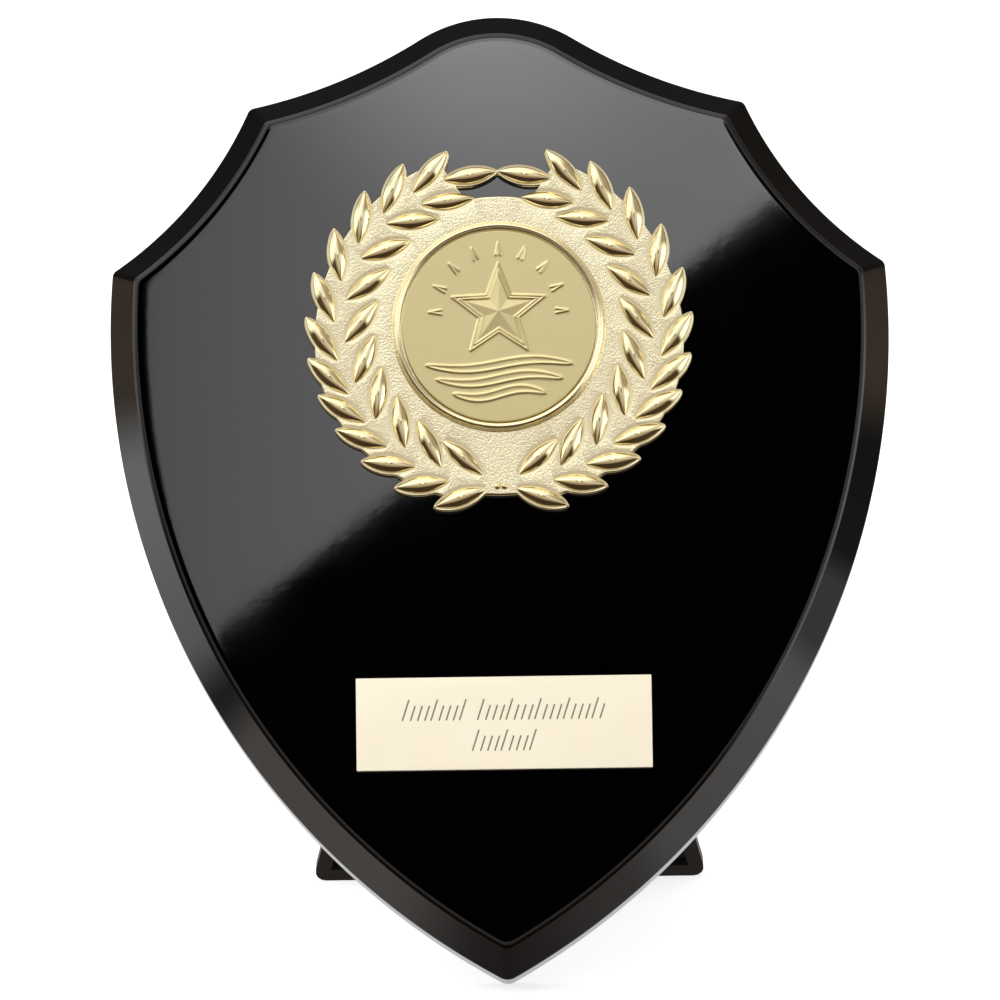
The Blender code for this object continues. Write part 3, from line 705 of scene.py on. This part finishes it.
def leaf_section():
    """(share of the half width, share of the rise) over the dome and down its steep edge."""
    dome_reach = 1.0 - LEAF_WALL_REACH
    section = []
    for step in range(LEAF_DOME_STEPS + 1):
        share = step / LEAF_DOME_STEPS
        section.append((dome_reach * share, 1.0 - (1.0 - LEAF_WALL_RISE) * share ** LEAF_DOME_POWER))
    for cosine, sine in quarter(LEAF_WALL_STEPS)[1:]:
        section.append((dome_reach + LEAF_WALL_REACH * sine, LEAF_WALL_RISE * cosine))
    return section


def leaf_solid(place):
    """(verts, faces) of one domed leaf with pointed ends, its root sunk in the ground."""
    middle, along_way, across_way = leaf_frame(place, GROUND_THICKNESS)
    up = Vector((0.0, 0.0, 1.0))
    section = leaf_section()
    whole = [(-reach, rise) for reach, rise in reversed(section[1:])] + section
    loops = []
    for index in range(1, LEAF_SECTIONS):
        part = (1.0 - math.cos(math.pi * index / LEAF_SECTIONS)) / 2.0
        half_width = leaf_half_width(part)
        crest = LEAF_RISE * math.sin(math.pi * part) ** LEAF_CREST_POWER
        centre = middle + along_way * (part - 0.5) * LEAF_LENGTH
        loop = [centre + across_way * half_width * reach + up * (crest * rise - EDGE_SUPPORT / 4.0)
                for reach, rise in whole]
        loop += [centre + across_way * half_width * side - up * LEAF_ROOT for side in (1.0, -1.0)]
        loops.append(loop)
    verts, faces = lofted(loops, closing=False)
    ends = [middle - along_way * LEAF_LENGTH / 2.0 - up * EDGE_SUPPORT,
            middle + along_way * LEAF_LENGTH / 2.0 - up * EDGE_SUPPORT]
    size = len(loops[0])
    last = len(verts) - size
    for end, first in zip(ends, (0, last)):
        point = len(verts)
        verts.append(tuple(end))
        faces += [(point, first + index, first + (index + 1) % size) for index in range(size)]
    return verts, faces


def dish_solid(place):
    """(verts, faces) of the shallow dish in which one leaf stands."""
    parts = [(1.0 - math.cos(math.pi * step / DISH_STEPS)) / 2.0 for step in range(DISH_STEPS + 1)]
    low, high = DISH_REACH
    loops = []
    for reach, level in ((low, GROUND_THICKNESS - DISH_DEPTH), (high, GROUND_THICKNESS),
                         (high + EDGE_SUPPORT, GROUND_THICKNESS + DISH_DEPTH)):
        edge = leaf_edge(place, reach, parts, (1.0, -1.0))
        around = edge[:len(parts)] + list(reversed(edge[len(parts):]))
        loops.append([(point.x, point.y, level) for point in around])
    return lofted(loops)


def knot_solid(side):
    """(verts, faces) of one of the small bumps where the two branches meet."""
    loops = []
    for cosine, sine in quarter(KNOT_STEPS)[:-1]:
        height = GROUND_THICKNESS + KNOT_RADIUS * (2.0 * sine - 1.0)
        loops.append([(side * KNOT_SPREAD + x, KNOT_HEIGHT + y, height)
                      for x, y in circle(KNOT_RADIUS * cosine, KNOT_COLUMNS)])
    return lofted(loops)


def wreath_mesh(finishes):
    """The ground and pads with window and dishes cut and the leaves set in, in the three finishes."""
    left, right = leaf_places()
    places = left + right
    pads = mesh_of("wreath_pads", *joined([pad_solid(place) for place in left[:OUTER_LEAVES]
                                           + right[:OUTER_LEAVES]]))
    dishes = mesh_of("wreath_dishes", *joined([dish_solid(place) for place in places]))
    leaves = mesh_of("wreath_leaves", *joined([leaf_solid(place) for place in places]
                                              + [knot_solid(side) for side in (-1.0, 1.0)]))
    window = window_tool()
    made = ground_mesh()
    for mesh in (made, pads, window, dishes, leaves):
        outward(mesh)
        mesh.materials.clear()
        for finish in finishes:
            mesh.materials.append(finish)
    for mesh in (made, pads):
        mark_ground(mesh)
    for mesh, finish in ((window, SATIN), (dishes, SATIN), (leaves, SMOOTH)):
        for face in mesh.polygons:
            face.material_index = finish
    made = apply_boolean(made, pads, "UNION", True)
    made = apply_boolean(made, window, "DIFFERENCE")
    made = apply_boolean(made, dishes, "DIFFERENCE", True)
    made = apply_boolean(made, leaves, "UNION")
    smooth(made, GOLD_CREASE)
    return weighted(made)


# Centre disc: a plain generic design in low relief

def star_outline(radius):
    """Points of a star round its own centre, closed."""
    points = []
    for step in range(2 * STAR_POINTS + 1):
        reach = radius if step % 2 == 0 else STAR_WAIST * radius
        angle = QUARTER_TURN + math.pi * step / STAR_POINTS
        points.append((STAR_CENTRE.x + reach * math.cos(angle), STAR_CENTRE.y + reach * math.sin(angle)))
    return points


def wave_edges(height):
    """The upper and lower line of one wave, which meet in a point at both ends."""
    half_length = math.sqrt(WAVE_REACH ** 2 - height ** 2)
    upper = []
    lower = []
    for step in range(WAVE_STEPS + 1):
        share = 2.0 * step / WAVE_STEPS - 1.0
        middle = height + WAVE_SWING * math.sin(math.pi * share)
        swell = WAVE_HALF_WIDTH * math.sqrt(1.0 - share ** 2)
        upper.append((share * half_length, middle + swell))
        lower.append((share * half_length, middle - swell))
    return upper, lower


def ray_edges():
    """The two short lines of every ray over the star."""
    lines = []
    for index in range(RAY_COUNT):
        angle = QUARTER_TURN + (index - (RAY_COUNT - 1) / 2.0) * RAY_SPREAD
        way = Vector((math.cos(angle), math.sin(angle)))
        across = Vector((-way.y, way.x))
        for side in (-1.0, 1.0):
            low = STAR_CENTRE + way * RAY_REACH[0] + across * RAY_GAP * side
            high = STAR_CENTRE + way * RAY_REACH[1]
            lines.append([tuple(low), tuple(high)])
    return lines


def line_distance(x, y, points):
    """Distance of every grid point from the nearest piece of a line."""
    nearest = np.full_like(x, DISC_RADIUS)
    for start, end in zip(points[:-1], points[1:]):
        run = np.array(end) - np.array(start)
        share = ((x - start[0]) * run[0] + (y - start[1]) * run[1]) / (run @ run)
        share = np.clip(share, 0.0, 1.0)
        away = np.hypot(x - start[0] - share * run[0], y - start[1] - share * run[1])
        nearest = np.minimum(nearest, away)
    return nearest


def star_facets(x, y):
    """Height of a low star whose facets rise from its outline to its middle."""
    away = np.hypot(x - STAR_CENTRE.x, y - STAR_CENTRE.y)
    turn = np.arctan2(x - STAR_CENTRE.x, y - STAR_CENTRE.y)
    half_point = math.pi / STAR_POINTS
    folded = np.abs((turn + half_point) % (2.0 * half_point) - half_point)
    tip = Vector((STAR_FACETS, 0.0))
    waist = Vector((math.cos(half_point), math.sin(half_point))) * STAR_FACETS * STAR_WAIST
    edge = waist - tip
    reach = (tip.x * edge.y) / (np.cos(folded) * edge.y - np.sin(folded) * edge.x)
    return STAR_PEAK * np.clip(1.0 - away / reach, 0.0, 1.0)


def disc_relief(x, y):
    lines = [star_outline(radius) for radius in STAR_OUTLINES] + ray_edges()
    raised = star_facets(x, y)
    for height in WAVE_HEIGHTS:
        upper, lower = wave_edges(height)
        lines += [upper, lower]
        half_length = math.sqrt(WAVE_REACH ** 2 - height ** 2)
        share = np.clip(x / half_length, -1.0, 1.0)
        offset = y - height - WAVE_SWING * np.sin(math.pi * share)
        swell = WAVE_HALF_WIDTH * np.sqrt(1.0 - share ** 2)
        raised += WAVE_RISE * np.clip((swell - np.abs(offset)) / LINE_WIDTH, 0.0, 1.0)
    nearest = np.full_like(x, DISC_RADIUS)
    for line in lines:
        nearest = np.minimum(nearest, line_distance(x, y, line))
    return raised + LINE_RISE * np.exp(-(nearest / LINE_WIDTH) ** 2)


def disc_mesh():
    """A square grid bent to a disc, so that its cells stay even, with the relief as its height."""
    steps = np.linspace(-1.0, 1.0, DISC_CELLS + 1)
    across, up = np.meshgrid(steps, steps)
    wide = np.abs(across) > np.abs(up)
    reach = np.where(wide, across, up)
    safe = np.where(reach == 0.0, 1.0, reach)
    turn = np.where(wide, math.pi / 4.0 * up / safe, QUARTER_TURN - math.pi / 4.0 * across / safe)
    x = reach * np.cos(turn) * (DISC_RADIUS - DISC_EDGE)
    y = reach * np.sin(turn) * (DISC_RADIUS - DISC_EDGE)
    height = DISC_THICKNESS + disc_relief(x, y)
    verts = list(zip(x.ravel().tolist(), y.ravel().tolist(), height.ravel().tolist()))
    row = DISC_CELLS + 1
    faces = []
    for line in range(DISC_CELLS):
        for cell in range(DISC_CELLS):
            first = line * row + cell
            faces.append((first, first + 1, first + row + 1, first + row))
    border = [cell for cell in range(DISC_CELLS)]
    border += [line * row + DISC_CELLS for line in range(DISC_CELLS)]
    border += [DISC_CELLS * row + cell for cell in range(DISC_CELLS, 0, -1)]
    border += [line * row for line in range(DISC_CELLS, 0, -1)]
    size = len(border)
    ring = border
    for radius, level in ((DISC_RADIUS, DISC_THICKNESS - DISC_EDGE), (DISC_RADIUS, 0.0)):
        first = len(verts)
        for corner in border:
            way = Vector(verts[corner][:2]).normalized() * radius
            verts.append((way.x, way.y, level))
        for index in range(size):
            after = (index + 1) % size
            faces.append((ring[index], first + index, first + after, ring[after]))
        ring = [first + index for index in range(size)]
    faces.append(tuple(ring))
    mesh = mesh_of("centre_disc_fine", verts, faces)
    outward(mesh)
    smooth(mesh, GOLD_CREASE)
    return mesh


# Engraving plate

def stroke_prism(x, y, height):
    """One slanted stroke with round ends, as a shallow cutter."""
    half = STROKE_WIDTH / 2.0
    straight = height / 2.0 - half
    along = Vector((math.sin(STROKE_SLANT), math.cos(STROKE_SLANT)))
    across = Vector((along.y, -along.x))
    outline = []
    for end in (1.0, -1.0):
        for step in range(STROKE_ROUND_STEPS + 1):
            turn = math.pi * step / STROKE_ROUND_STEPS
            spot = along * (straight + half * math.sin(turn)) * end + across * half * math.cos(turn) * end
            outline.append((x + spot.x, y + spot.y))
    bottom = PLATE_THICKNESS - STROKE_DEPTH
    return lofted([[(px, py, level) for px, py in outline] for level in (bottom, 2.0 * PLATE_THICKNESS)])


def stroke_row(centre_y, counts):
    """Strokes in groups of the given counts, in which one stroke of every few is taller."""
    length = sum(counts) * STROKE_PITCH + (len(counts) - 1) * STROKE_GAP
    x = (STROKE_PITCH - length) / 2.0
    strokes = []
    for count in counts:
        for index in range(count):
            height = STROKE_HEIGHT * (LOW_STROKE if index % TALL_STROKE_EVERY else 1.0)
            strokes.append(stroke_prism(x, centre_y - (STROKE_HEIGHT - height) / 2.0, height))
            x += STROKE_PITCH
        x += STROKE_GAP
    return strokes


def plate_mesh(groove):
    bm = bmesh.new()
    bmesh.ops.create_cube(bm, size=1.0)
    bmesh.ops.scale(bm, verts=bm.verts, vec=(PLATE_WIDTH, PLATE_HEIGHT, PLATE_THICKNESS))
    bmesh.ops.translate(bm, verts=bm.verts, vec=(0.0, 0.0, PLATE_THICKNESS / 2.0))
    bmesh.ops.bevel(bm, geom=bm.edges, offset=PLATE_EDGE, segments=EDGE_SEGMENTS, profile=0.5,
                    affect="EDGES")
    mesh = bpy.data.meshes.new("engraving_plate_fine")
    bm.to_mesh(mesh)
    bm.free()
    strokes = [stroke for centre_y, counts in STROKE_ROWS for stroke in stroke_row(centre_y, counts)]
    cutter = mesh_of("plate_strokes", *joined(strokes))
    outward(cutter)
    mesh.materials.append(None)
    mesh.materials.append(groove)
    cutter.materials.append(groove)
    made = apply_boolean(mesh, cutter, "DIFFERENCE")
    smooth(made)
    return made


# Hardware: the CAD solids with rounded edges

def softened(node, width, segments=EDGE_SEGMENTS):
    """A copy of a CAD node's mesh in which the solid's edges are rounded."""
    bm = bmesh.new()
    bm.from_mesh(frame["nodes"][node].data)
    bmesh.ops.remove_doubles(bm, verts=bm.verts, dist=SAME_POINT)
    bmesh.ops.dissolve_limit(bm, angle_limit=SAME_PLANE, verts=bm.verts, edges=bm.edges)
    sharp = [edge for edge in bm.edges if edge.calc_face_angle(0.0) > HARDWARE_SHARP]
    bmesh.ops.bevel(bm, geom=sharp, offset=width, segments=segments, profile=0.5, affect="EDGES",
                    clamp_overlap=True)
    mesh = bpy.data.meshes.new(node + "_fine")
    bm.to_mesh(mesh)
    bm.free()
    smooth(mesh, HARDWARE_CREASE)
    return mesh


# Materials

def feed(tree, socket, value):
    """Sets a node's socket to a plain value, or links another node's socket to it."""
    if isinstance(value, bpy.types.NodeSocket):
        tree.links.new(value, socket)
    else:
        socket.default_value = value


def mix_node(tree, share, first, second, blend="MIX"):
    """first where share is 0 and second where it is 1, or their sum with the blend ADD."""
    mix = tree.nodes.new("ShaderNodeMix")
    mix.data_type = "RGBA"
    mix.blend_type = blend
    for name, value in (("Factor", share), ("A", first), ("B", second)):
        feed(tree, mix.inputs[name], value)
    return mix.outputs["Result"]


def range_node(tree, value, span, result=(0.0, 1.0), kind="LINEAR"):
    """The value carried over from one span to another."""
    step = tree.nodes.new("ShaderNodeMapRange")
    step.interpolation_type = kind
    for name, number in zip(("From Min", "From Max", "To Min", "To Max"), (*span, *result)):
        step.inputs[name].default_value = number
    tree.links.new(value, step.inputs["Value"])
    return step.outputs["Result"]


class Finish:
    """A material in the making: one shader whose colour, gloss and relief follow noises."""

    def __init__(self, name, metallic=0.0):
        self.material = bpy.data.materials.new(name)
        self.material.use_nodes = True
        self.tree = self.material.node_tree
        self.shader = self.tree.nodes["Principled BSDF"]
        self.shader.inputs["Metallic"].default_value = metallic
        self.relief = None

    def noise(self, scale, detail=3.0, roughness=0.5):
        """A noise in the piece's own coordinates: scale is bumps for each metre."""
        place = self.tree.nodes.new("ShaderNodeTexCoord")
        made = self.tree.nodes.new("ShaderNodeTexNoise")
        for name, number in (("Scale", scale), ("Detail", detail), ("Roughness", roughness)):
            made.inputs[name].default_value = number
        self.tree.links.new(place.outputs["Object"], made.inputs["Vector"])
        return made.outputs["Fac"]

    def colour(self, share, first, second):
        mixed = mix_node(self.tree, share, (*first, 1.0), (*second, 1.0))
        self.tree.links.new(mixed, self.shader.inputs["Base Color"])

    def roughness(self, value, span, result):
        self.tree.links.new(range_node(self.tree, value, span, result), self.shader.inputs["Roughness"])

    def bump(self, height, distance, strength=1.0):
        """Adds relief of a height to the relief that is there."""
        made = self.tree.nodes.new("ShaderNodeBump")
        made.inputs["Distance"].default_value = distance
        made.inputs["Strength"].default_value = strength
        self.tree.links.new(height, made.inputs["Height"])
        if self.relief is not None:
            self.tree.links.new(self.relief, made.inputs["Normal"])
        self.relief = made.outputs["Normal"]
        self.tree.links.new(self.relief, self.shader.inputs["Normal"])


def lacquer_finish():
    """High-gloss black lacquer with a faint orange peel and a little haze."""
    finish = Finish("black_lacquer")
    cloud = finish.noise(90.0)
    finish.colour(cloud, (0.0002, 0.0002, 0.0003), (0.0006, 0.0006, 0.0006))
    finish.roughness(cloud, (0.2, 0.8), (0.015, 0.026))
    finish.shader.inputs["IOR"].default_value = 1.5
    finish.bump(finish.noise(700.0, 1.0), 0.0003 * MM)
    finish.bump(finish.noise(4500.0, 1.0), 0.00008 * MM)
    return finish.material


def back_finish():
    """The board's back: black sealer over fibreboard, with a fine fibrous grain."""
    finish = Finish("board_back_sealer")
    fibre = finish.noise(2200.0, 4.0, 0.65)
    finish.colour(fibre, (0.010, 0.009, 0.009), (0.022, 0.020, 0.018))
    finish.roughness(fibre, (0.3, 0.7), (0.45, 0.65))
    finish.bump(fibre, 0.02 * MM, 0.7)
    return finish.material


def gold_finish(name, metallic, colours, haze, grain, relief):
    """Metallised gold with clouds of tone, an uneven haze of gloss and a fine relief."""
    finish = Finish(name, metallic)
    finish.colour(finish.noise(GOLD_TONE), *colours)
    finish.roughness(finish.noise(GOLD_HAZE), *haze)
    finish.bump(finish.noise(*grain), *relief)
    return finish.material


def gold_leaf_finish():
    """Bright gold, smooth on the leaves."""
    return gold_finish("gold_metallised", 1.0, colours=((0.90, 0.78, 0.46), (0.93, 0.82, 0.50)),
                       haze=((0.2, 0.8), (0.035, 0.065)), grain=(1800.0, 2.0), relief=(0.005 * MM, 0.5))


def gold_satin_finish():
    """Gold with a satin face, on the ring, the rim and the dishes of the leaves."""
    return gold_finish("gold_satin", 1.0, colours=((0.94, 0.84, 0.54), (0.96, 0.87, 0.58)),
                       haze=((0.2, 0.8), (0.20, 0.28)), grain=(3500.0, 2.0), relief=(0.01 * MM, 0.5))


def gold_ground_finish():
    """Gold on the ground between the leaves, stippled with a fine grain."""
    return gold_finish("gold_stippled", 0.8, colours=((0.96, 0.87, 0.58), (0.98, 0.90, 0.63)),
                       haze=((0.3, 0.7), (0.13, 0.18)), grain=(1.0 / STIPPLE_GRAIN, 1.5),
                       relief=(STIPPLE_DEPTH, 1.0))


def sheet_finish(name, metallic, tones, colours, roughness, grains):
    """Thin gold sheet with clouds of tone and gloss and a fine satin grain."""
    finish = Finish(name, metallic)
    tone = finish.noise(tones)
    finish.colour(tone, *colours)
    finish.roughness(tone, (0.0, 1.0), roughness)
    finish.bump(finish.noise(grains, 2.0), 0.002 * MM, 0.5)
    return finish.material


def foil_finish():
    """Satin gold foil of the centre disc."""
    return sheet_finish("gold_foil", 1.0, tones=300.0, grains=9000.0, roughness=(0.29, 0.33),
                        colours=((0.76, 0.66, 0.345), (0.79, 0.685, 0.365)))


def plate_finish():
    """Pale gold of the engraving plate."""
    return sheet_finish("pale_gold_plate", 0.25, tones=200.0, grains=7000.0, roughness=(0.42, 0.5),
                        colours=((0.95, 0.875, 0.68), (0.97, 0.905, 0.73)))


def groove_finish():
    """The dull brown-grey bottom of the shallow strokes."""
    finish = Finish("stroke_groove")
    finish.colour(finish.noise(4000.0), (0.20, 0.155, 0.10), (0.32, 0.26, 0.18))
    finish.shader.inputs["Roughness"].default_value = 0.7
    return finish.material


def moulded_finish():
    """Black injection moulding with a fine matt grain."""
    finish = Finish("moulded_black")
    grain = finish.noise(5000.0, 3.0, 0.6)
    finish.colour(finish.noise(80.0), (0.014, 0.011, 0.010), (0.022, 0.018, 0.016))
    finish.roughness(grain, (0.3, 0.7), (0.34, 0.5))
    finish.bump(grain, 0.008 * MM, 0.6)
    return finish.material


def zinc_finish():
    """Zinc plating with a cloudy tone."""
    finish = Finish("zinc_screw", 1.0)
    tone = finish.noise(1500.0, 4.0)
    finish.colour(tone, (0.50, 0.50, 0.49), (0.68, 0.68, 0.66))
    finish.roughness(tone, (0.3, 0.7), (0.24, 0.4))
    return finish.material


def floor_finish():
    """A white sweep lit from below as well as from above, so that shadows on it stay faint."""
    finish = Finish("pale_floor")
    finish.colour(finish.noise(3.0), (0.78, 0.78, 0.78), (0.80, 0.80, 0.80))
    finish.shader.inputs["Roughness"].default_value = 0.9
    finish.shader.inputs["Emission Color"].default_value = WHITE
    finish.shader.inputs["Emission Strength"].default_value = FLOOR_GLOW
    return finish.material


# Floor, light and camera

def build_floor():
    mesh = bpy.data.meshes.new("floor")
    bm = bmesh.new()
    bmesh.ops.create_grid(bm, x_segments=FLOOR_CELLS, y_segments=FLOOR_CELLS, size=FLOOR_HALF)
    bm.to_mesh(mesh)
    bm.free()
    mesh.materials.append(floor_finish())
    floor = placed("floor", mesh)
    floor.visible_glossy = False


def math_node(tree, operation, *values):
    step = tree.nodes.new("ShaderNodeMath")
    step.operation = operation
    for socket, value in zip(step.inputs, values):
        feed(tree, socket, value)
    return step.outputs["Value"]


def dot_node(tree, vector, direction):
    step = tree.nodes.new("ShaderNodeVectorMath")
    step.operation = "DOT_PRODUCT"
    for socket, value in zip(step.inputs, (vector, direction)):
        feed(tree, socket, value)
    return step.outputs["Value"]


def soft_step(tree, value, low, high):
    """0 below low and 1 above high, or the other way round where low is the larger."""
    return range_node(tree, value, (low, high), kind="SMOOTHSTEP")


def clock_ramp(tree, clock, stops):
    """Light by clock angle, as a ramp with one stop for each (degrees, light, warmth)."""
    node = tree.nodes.new("ShaderNodeValToRGB")
    ramp = node.color_ramp
    ramp.interpolation = "EASE"
    while len(ramp.elements) < len(stops):
        ramp.elements.new(0.5)
    for element, (degrees, light, warmth) in zip(ramp.elements, stops):
        element.position = degrees / 360.0 + 0.5
        tint = Vector(WHITE[:3]).lerp(WARM, warmth) * light
        element.color = (*tint, 1.0)
    tree.links.new(clock, node.inputs["Fac"])
    return node.outputs["Color"]


def box_light(tree, across, rise):
    """The soft box in the face's mirror image: bright above a slanting edge and black below it."""
    edge = (BOX_EDGE_END - BOX_EDGE_START).normalized()
    past_start = math_node(tree, "SUBTRACT", across, BOX_EDGE_START.x)
    over_start = math_node(tree, "SUBTRACT", rise, BOX_EDGE_START.y)
    over = math_node(tree, "SUBTRACT", math_node(tree, "MULTIPLY", over_start, edge.x),
                     math_node(tree, "MULTIPLY", past_start, edge.y))
    left, right = BOX_SIDES
    inside = soft_step(tree, over, -BOX_EDGE_SOFTNESS, BOX_EDGE_SOFTNESS)
    for start, end in ((left, left + BOX_SIDE_SOFTNESS), (right + BOX_SIDE_SOFTNESS, right)):
        inside = math_node(tree, "MULTIPLY", inside, soft_step(tree, across, start, end))
    away_x = math_node(tree, "SUBTRACT", across, BOX_CENTRE.x)
    away_y = math_node(tree, "SUBTRACT", rise, BOX_CENTRE.y)
    away = math_node(tree, "SQRT", math_node(tree, "ADD", math_node(tree, "MULTIPLY", away_x, away_x),
                                             math_node(tree, "MULTIPLY", away_y, away_y)))
    far = math_node(tree, "MULTIPLY_ADD", across, BOX_FAR_SLOPE, BOX_FAR_LIGHT)
    extra = math_node(tree, "MULTIPLY", math_node(tree, "SUBTRACT", BOX_CENTRE_LIGHT, far),
                      soft_step(tree, away, BOX_FADE, 0.0))
    return math_node(tree, "MULTIPLY", inside, math_node(tree, "ADD", far, extra))


def room_light(tree, way):
    """The light from every direction: the soft box in the middle, and the bands round it."""
    ahead = dot_node(tree, way, MIRROR_WAY)
    right = dot_node(tree, way, (1.0, 0.0, 0.0))
    up = dot_node(tree, way, MIRROR_UP)
    clock = math_node(tree, "MULTIPLY_ADD", math_node(tree, "ARCTAN2", up, right), 1.0 / FULL_TURN, 0.5)
    turn = math_node(tree, "DEGREES", math_node(tree, "ARCCOSINE", ahead))
    depth = math_node(tree, "MAXIMUM", ahead, LEAST_AHEAD)
    box = box_light(tree, math_node(tree, "DIVIDE", right, depth), math_node(tree, "DIVIDE", up, depth))
    near, far = FRONT_BAND
    light = mix_node(tree, soft_step(tree, turn, near, far), BLACK, clock_ramp(tree, clock, FRONT_LIGHT))
    box = math_node(tree, "MULTIPLY", box, soft_step(tree, turn, far, near))
    light = mix_node(tree, 1.0, light, box, "ADD")
    for (start, end), stops in ((MIDDLE_BAND, MIDDLE_LIGHT), (SIDE_BAND, SIDE_LIGHT),
                                (RIM_BAND, RIM_LIGHT)):
        light = mix_node(tree, soft_step(tree, turn, start, end), light, clock_ramp(tree, clock, stops))
    return mix_node(tree, soft_step(tree, turn, *WALL_BAND), light, WALL_LIGHT)


def build_world():
    """A light tent: a soft box high on the left front, white above, and dark cards round the rest."""
    world = bpy.data.worlds.new("studio")
    bpy.context.scene.world = world
    world.use_nodes = True
    tree = world.node_tree
    way = tree.nodes.new("ShaderNodeTexCoord").outputs["Generated"]
    seen = tree.nodes.new("ShaderNodeLightPath").outputs["Is Camera Ray"]
    shown = mix_node(tree, seen, room_light(tree, way), WHITE)
    tree.links.new(shown, tree.nodes["Background"].inputs["Color"])
    world.cycles.sampling_method = "MANUAL"
    world.cycles.sample_map_resolution = LIGHT_MAP_SIZE


def build_camera():
    data = bpy.data.cameras.new("camera")
    data.lens = CAMERA_LENS
    data.sensor_width = SENSOR_WIDTH
    data.sensor_fit = "HORIZONTAL"
    data.clip_start, data.clip_end = CLIP_DISTANCES
    camera = placed("camera", data)
    away = Vector((math.sin(CAMERA_AZIMUTH) * math.cos(CAMERA_ELEVATION),
                   -math.cos(CAMERA_AZIMUTH) * math.cos(CAMERA_ELEVATION), math.sin(CAMERA_ELEVATION)))
    turn = away.to_track_quat("Z", "Y").to_matrix().to_4x4() @ Matrix.Rotation(-CAMERA_ROLL, 4, "Z")
    pixel = CAMERA_DISTANCE * SENSOR_WIDTH / CAMERA_LENS / PICTURE_SIZE
    right = turn.to_3x3() @ Vector((1.0, 0.0, 0.0))
    up = turn.to_3x3() @ Vector((0.0, 1.0, 0.0))
    aim = AIM_POINT - right * (AIM_PIXEL[0] - PICTURE_SIZE / 2.0) * pixel
    aim += up * (AIM_PIXEL[1] - PICTURE_SIZE / 2.0) * pixel
    camera.matrix_world = Matrix.Translation(aim + away * CAMERA_DISTANCE) @ turn
    bpy.context.scene.camera = camera


def build_pieces():
    groove = groove_finish()
    moulded = moulded_finish()
    zinc = zinc_finish()
    new_piece("shield_board_fine", board_mesh(), board_place, "shield", "shield_board", "board_lacquer",
              lacquer_finish(), back_finish())
    wreath = wreath_mesh((gold_ground_finish(), gold_leaf_finish(), gold_satin_finish()))
    new_piece("wreath_trim_fine", wreath, on_face(WREATH_HEIGHT_ON_BOARD), "shield", "wreath_trim",
              "wreath_gold")
    new_piece("centre_disc_fine", disc_mesh(), on_face(WREATH_HEIGHT_ON_BOARD, 2.0 * GAP + RECESS_FLOOR),
              "shield", "centre_disc", "disc_gold", foil_finish())
    plate = plate_mesh(groove)
    plate.materials[0] = plate_finish()
    new_piece("engraving_plate_fine", plate, on_face(PLATE_HEIGHT_ON_BOARD), "shield", "engraving_plate",
              "plate_gold")
    still = Matrix.Identity(4)
    new_piece("strut_fine", softened("strut", STRUT_EDGE), still, "leg", "strut", "moulded_black", moulded)
    new_piece("strut_bracket_fine", softened("strut_bracket", BRACKET_EDGE), still, "shield",
              "strut_bracket", "moulded_black", moulded)
    for side in ("left", "right"):
        node = "bracket_screw_" + side
        mesh = softened(node, SCREW_EDGE, SCREW_SEGMENTS)
        new_piece(node + "_fine", mesh, still, "shield", node, "screw_zinc", zinc)


def set_picture():
    scene = bpy.context.scene
    scene.view_settings.view_transform = "Standard"
    scene.view_settings.look = "None"
    scene.view_settings.exposure = 0.0
    scene.view_settings.gamma = 1.0


build_pieces()
build_floor()
build_world()
build_camera()
set_picture()
